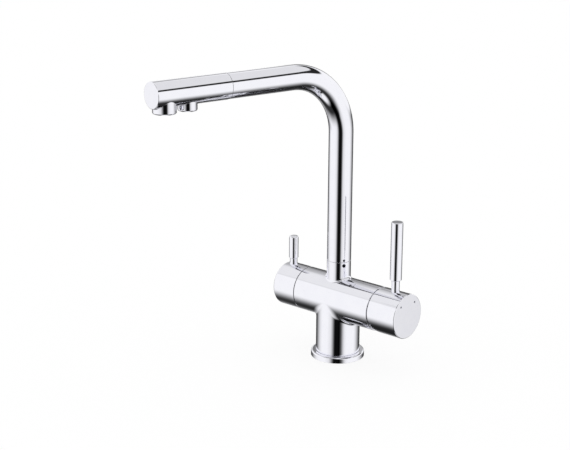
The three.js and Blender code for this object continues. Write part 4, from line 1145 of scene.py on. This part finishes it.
# Degrees round and up at which each dark zone starts, is full, is still full and ends, and how dark it is.
tentFlags = {
    "right": {"round": (88, 148, 181, 182), "up": (-28, -24, -6, -1), "depth": 0.94},
    "left": {"round": (-182, -181, -150, -104), "up": (-28, -24, -6, -1), "depth": 0.94},
    "leftFoot": {"round": (-182, -181, -120, -86), "up": (-28, -24, -20, -15), "depth": 0.25},
    "under": {"round": (100, 130, 181, 182), "up": (-62, -54, -30, -22), "depth": 0.75},
    "underLeft": {"round": (-182, -181, -130, -100), "up": (-62, -54, -30, -22), "depth": 0.5},
    "behind": {"round": (158, 172, 181, 182), "up": (-28, -24, 6, 40), "depth": 0.9},
    "behindLeft": {"round": (-182, -181, -179, -176), "up": (-28, -24, 6, 40), "depth": 0.9},
    "barrelTop": {"round": (-182, -181, -168, -140), "up": (16, 20, 30, 52), "depth": 0.55},
    "floor": {"round": (-182, -181, 181, 182), "up": (-80, -64, -55, -23), "depth": 0.97},
    "rightSeam": {"round": (14, 22, 166, 172), "up": (26.5, 30, 38, 41.5), "depth": 0.98},
    "leftSeam": {"round": (-172, -166, -22, -14), "up": (36, 38, 40, 42), "depth": 0.15},
    "echo": {"round": (-92, -86, -14, 4), "up": (41, 45, 62, 68), "depth": 0.92},
    "ceiling": {"round": (-182, -181, 181, 182), "up": (38, 43, 91, 92), "depth": 0.12},
    "rightCeiling": {"round": (0, 20, 181, 182), "up": (38, 43, 91, 92), "depth": 0.08},
}
netFlags = {
    "front": {"round": (-40, -15, 6, 28), "up": (-91, -90.5, 14, 30), "depth": 0.995},
    "frontSoft": {"round": (-60, -32, 24, 50), "up": (-91, -90.5, 14, 30), "depth": 0.16},
    "frontFoot": {"round": (2, 6, 12, 38), "up": (-80, -70, -29, -23), "depth": 0.8},
}


def stagePiece(name, mesh, material):
    piece = bpy.data.objects.new(name, mesh)
    bpy.context.scene.collection.objects.link(piece)
    mesh.materials.append(material)
    return piece


def makeFloor():
    s = studioSettings
    half, glow = s["floorSize"] / 2, s["floorGlow"]
    mesh = bpy.data.meshes.new("floor")
    corners = [(-half, -half, 0), (half, -half, 0), (half, half, 0), (-half, half, 0)]
    mesh.from_pydata(corners, [], [(0, 1, 2, 3)])
    material, tree = newMaterial("paleFloor")
    rays = addNode(tree, "ShaderNodeLightPath").outputs
    lit = addNode(tree, "ShaderNodeEmission", {"Strength": glow})
    shaded = addNode(tree, "ShaderNodeBsdfDiffuse", {"Color": (1 - glow, 1 - glow, 1 - glow, 1)})
    white = addNode(tree, "ShaderNodeAddShader", {0: lit, 1: shaded})
    pale = addNode(tree, "ShaderNodeBsdfDiffuse", {"Color": linear(s["floorColour"])})
    mix = addNode(tree, "ShaderNodeMixShader", {0: rays["Is Camera Ray"], 1: pale, 2: white})
    addNode(tree, "ShaderNodeOutputMaterial", {"Surface": mix})
    floor = stagePiece("floor", mesh, material)
    floor.visible_glossy = False


def flagLight(tree, flags):
    # The share of the light that a set of dark zones leaves. Each zone has four soft edges.
    place = addNode(tree, "ShaderNodeTexCoord").outputs["Object"]
    way = addNode(tree, "ShaderNodeVectorMath", {0: place}, operation="NORMALIZE")
    turn = {"Vector": way, "Angle": math.radians(90 - studioSettings["tentAzimuth"])}
    faced = addNode(tree, "ShaderNodeVectorRotate", turn, rotation_type="Z_AXIS")
    x, y, z = addNode(tree, "ShaderNodeSeparateXYZ", {0: faced}).outputs
    turned = addNode(tree, "ShaderNodeMath", {0: y, 1: x}, operation="ARCTAN2")
    risen = addNode(tree, "ShaderNodeMath", {0: z}, operation="ARCSINE")
    light = 1.0
    for flag in flags.values():
        zone = flag["depth"]
        for angle, stops in ((turned, flag["round"]), (risen, flag["up"])):
            start, full, fullEnd, end = (math.radians(stop) for stop in stops)
            for low, high, before, after in ((start, full, 0.0, 1.0), (fullEnd, end, 1.0, 0.0)):
                span = {"Value": angle, "From Min": low, "From Max": high, "To Min": before, "To Max": after}
                edge = addNode(tree, "ShaderNodeMapRange", span, interpolation_type="SMOOTHSTEP")
                zone = addNode(tree, "ShaderNodeMath", {0: edge, 1: zone}, operation="MULTIPLY")
        left = addNode(tree, "ShaderNodeMath", {0: 1.0, 1: zone}, operation="SUBTRACT")
        light = addNode(tree, "ShaderNodeMath", {0: left, 1: light}, operation="MULTIPLY")
    return light


def hangCloth(name, form, material):
    mesh = bpy.data.meshes.new(name)
    form.to_mesh(mesh)
    form.free()
    cloth = stagePiece(name, mesh, material)
    cloth.location.z = studioSettings["tentHeight"]
    cloth.visible_camera = False
    cloth.visible_diffuse = False
    cloth.visible_shadow = False


def makeTent():
    s = studioSettings
    form = bmesh.new()
    roundCount, riseCount = s["tentCounts"]
    bmesh.ops.create_uvsphere(form, u_segments=roundCount, v_segments=riseCount, radius=s["tentRadius"])
    bmesh.ops.reverse_faces(form, faces=form.faces)
    material, tree = newMaterial("tentCloth")
    glow = addNode(tree, "ShaderNodeEmission", {"Strength": flagLight(tree, tentFlags)})
    addNode(tree, "ShaderNodeOutputMaterial", {"Surface": glow})
    hangCloth("lightTent", form, material)


def makeNet():
    # Thin net that only reflections see. It is near, so each part of the tap sees it from its own side.
    s = studioSettings
    form = bmesh.new()
    size = {"radius1": s["netRadius"], "radius2": s["netRadius"], "depth": 2 * s["netReach"]}
    bmesh.ops.create_cone(form, cap_ends=False, segments=s["netCount"], **size)
    material, tree = newMaterial("darkNet")
    veil = addNode(tree, "ShaderNodeBsdfTransparent", {"Color": flagLight(tree, netFlags)})
    addNode(tree, "ShaderNodeOutputMaterial", {"Surface": veil})
    hangCloth("darkNet", form, material)


def makeWorld():
    world = bpy.data.worlds.new("studio")
    bpy.context.scene.world = world
    world.use_nodes = True
    world.node_tree.nodes["Background"].inputs["Color"].default_value = (1, 1, 1, 1)


makeFloor()
makeTent()
makeNet()
makeWorld()
print("studio made")


# Camera

cameraSettings = {
    "target": (0, 0, 150),
    "azimuth": 39.29,
    "elevation": 15.97,
    "distance": 1413.25,
    "turns": (("Z", 0.94), ("Y", 2.28), ("X", -0.31)),      # roll, then the aim across and up
    "lens": 86.75,
    "sensor": 36,
}


def makeCamera():
    s = cameraSettings
    level = Matrix.Rotation(math.radians(s["azimuth"]), 4, "Z")
    facing = level @ Matrix.Rotation(math.radians(90 - s["elevation"]), 4, "X")
    place = (Vector(s["target"]) + s["distance"] * facing.col[2].to_3d()) * mm
    for axis, angle in s["turns"]:
        facing = facing @ Matrix.Rotation(math.radians(angle), 4, axis)
    camera = bpy.data.objects.new("camera", bpy.data.cameras.new("camera"))
    camera.data.lens = s["lens"]
    camera.data.sensor_width = s["sensor"]
    camera.matrix_world = Matrix.Translation(place) @ facing
    bpy.context.scene.collection.objects.link(camera)
    bpy.context.scene.camera = camera


makeCamera()
bpy.context.scene.view_settings.view_transform = "Standard"
bpy.context.view_layer.update()
print("camera made")
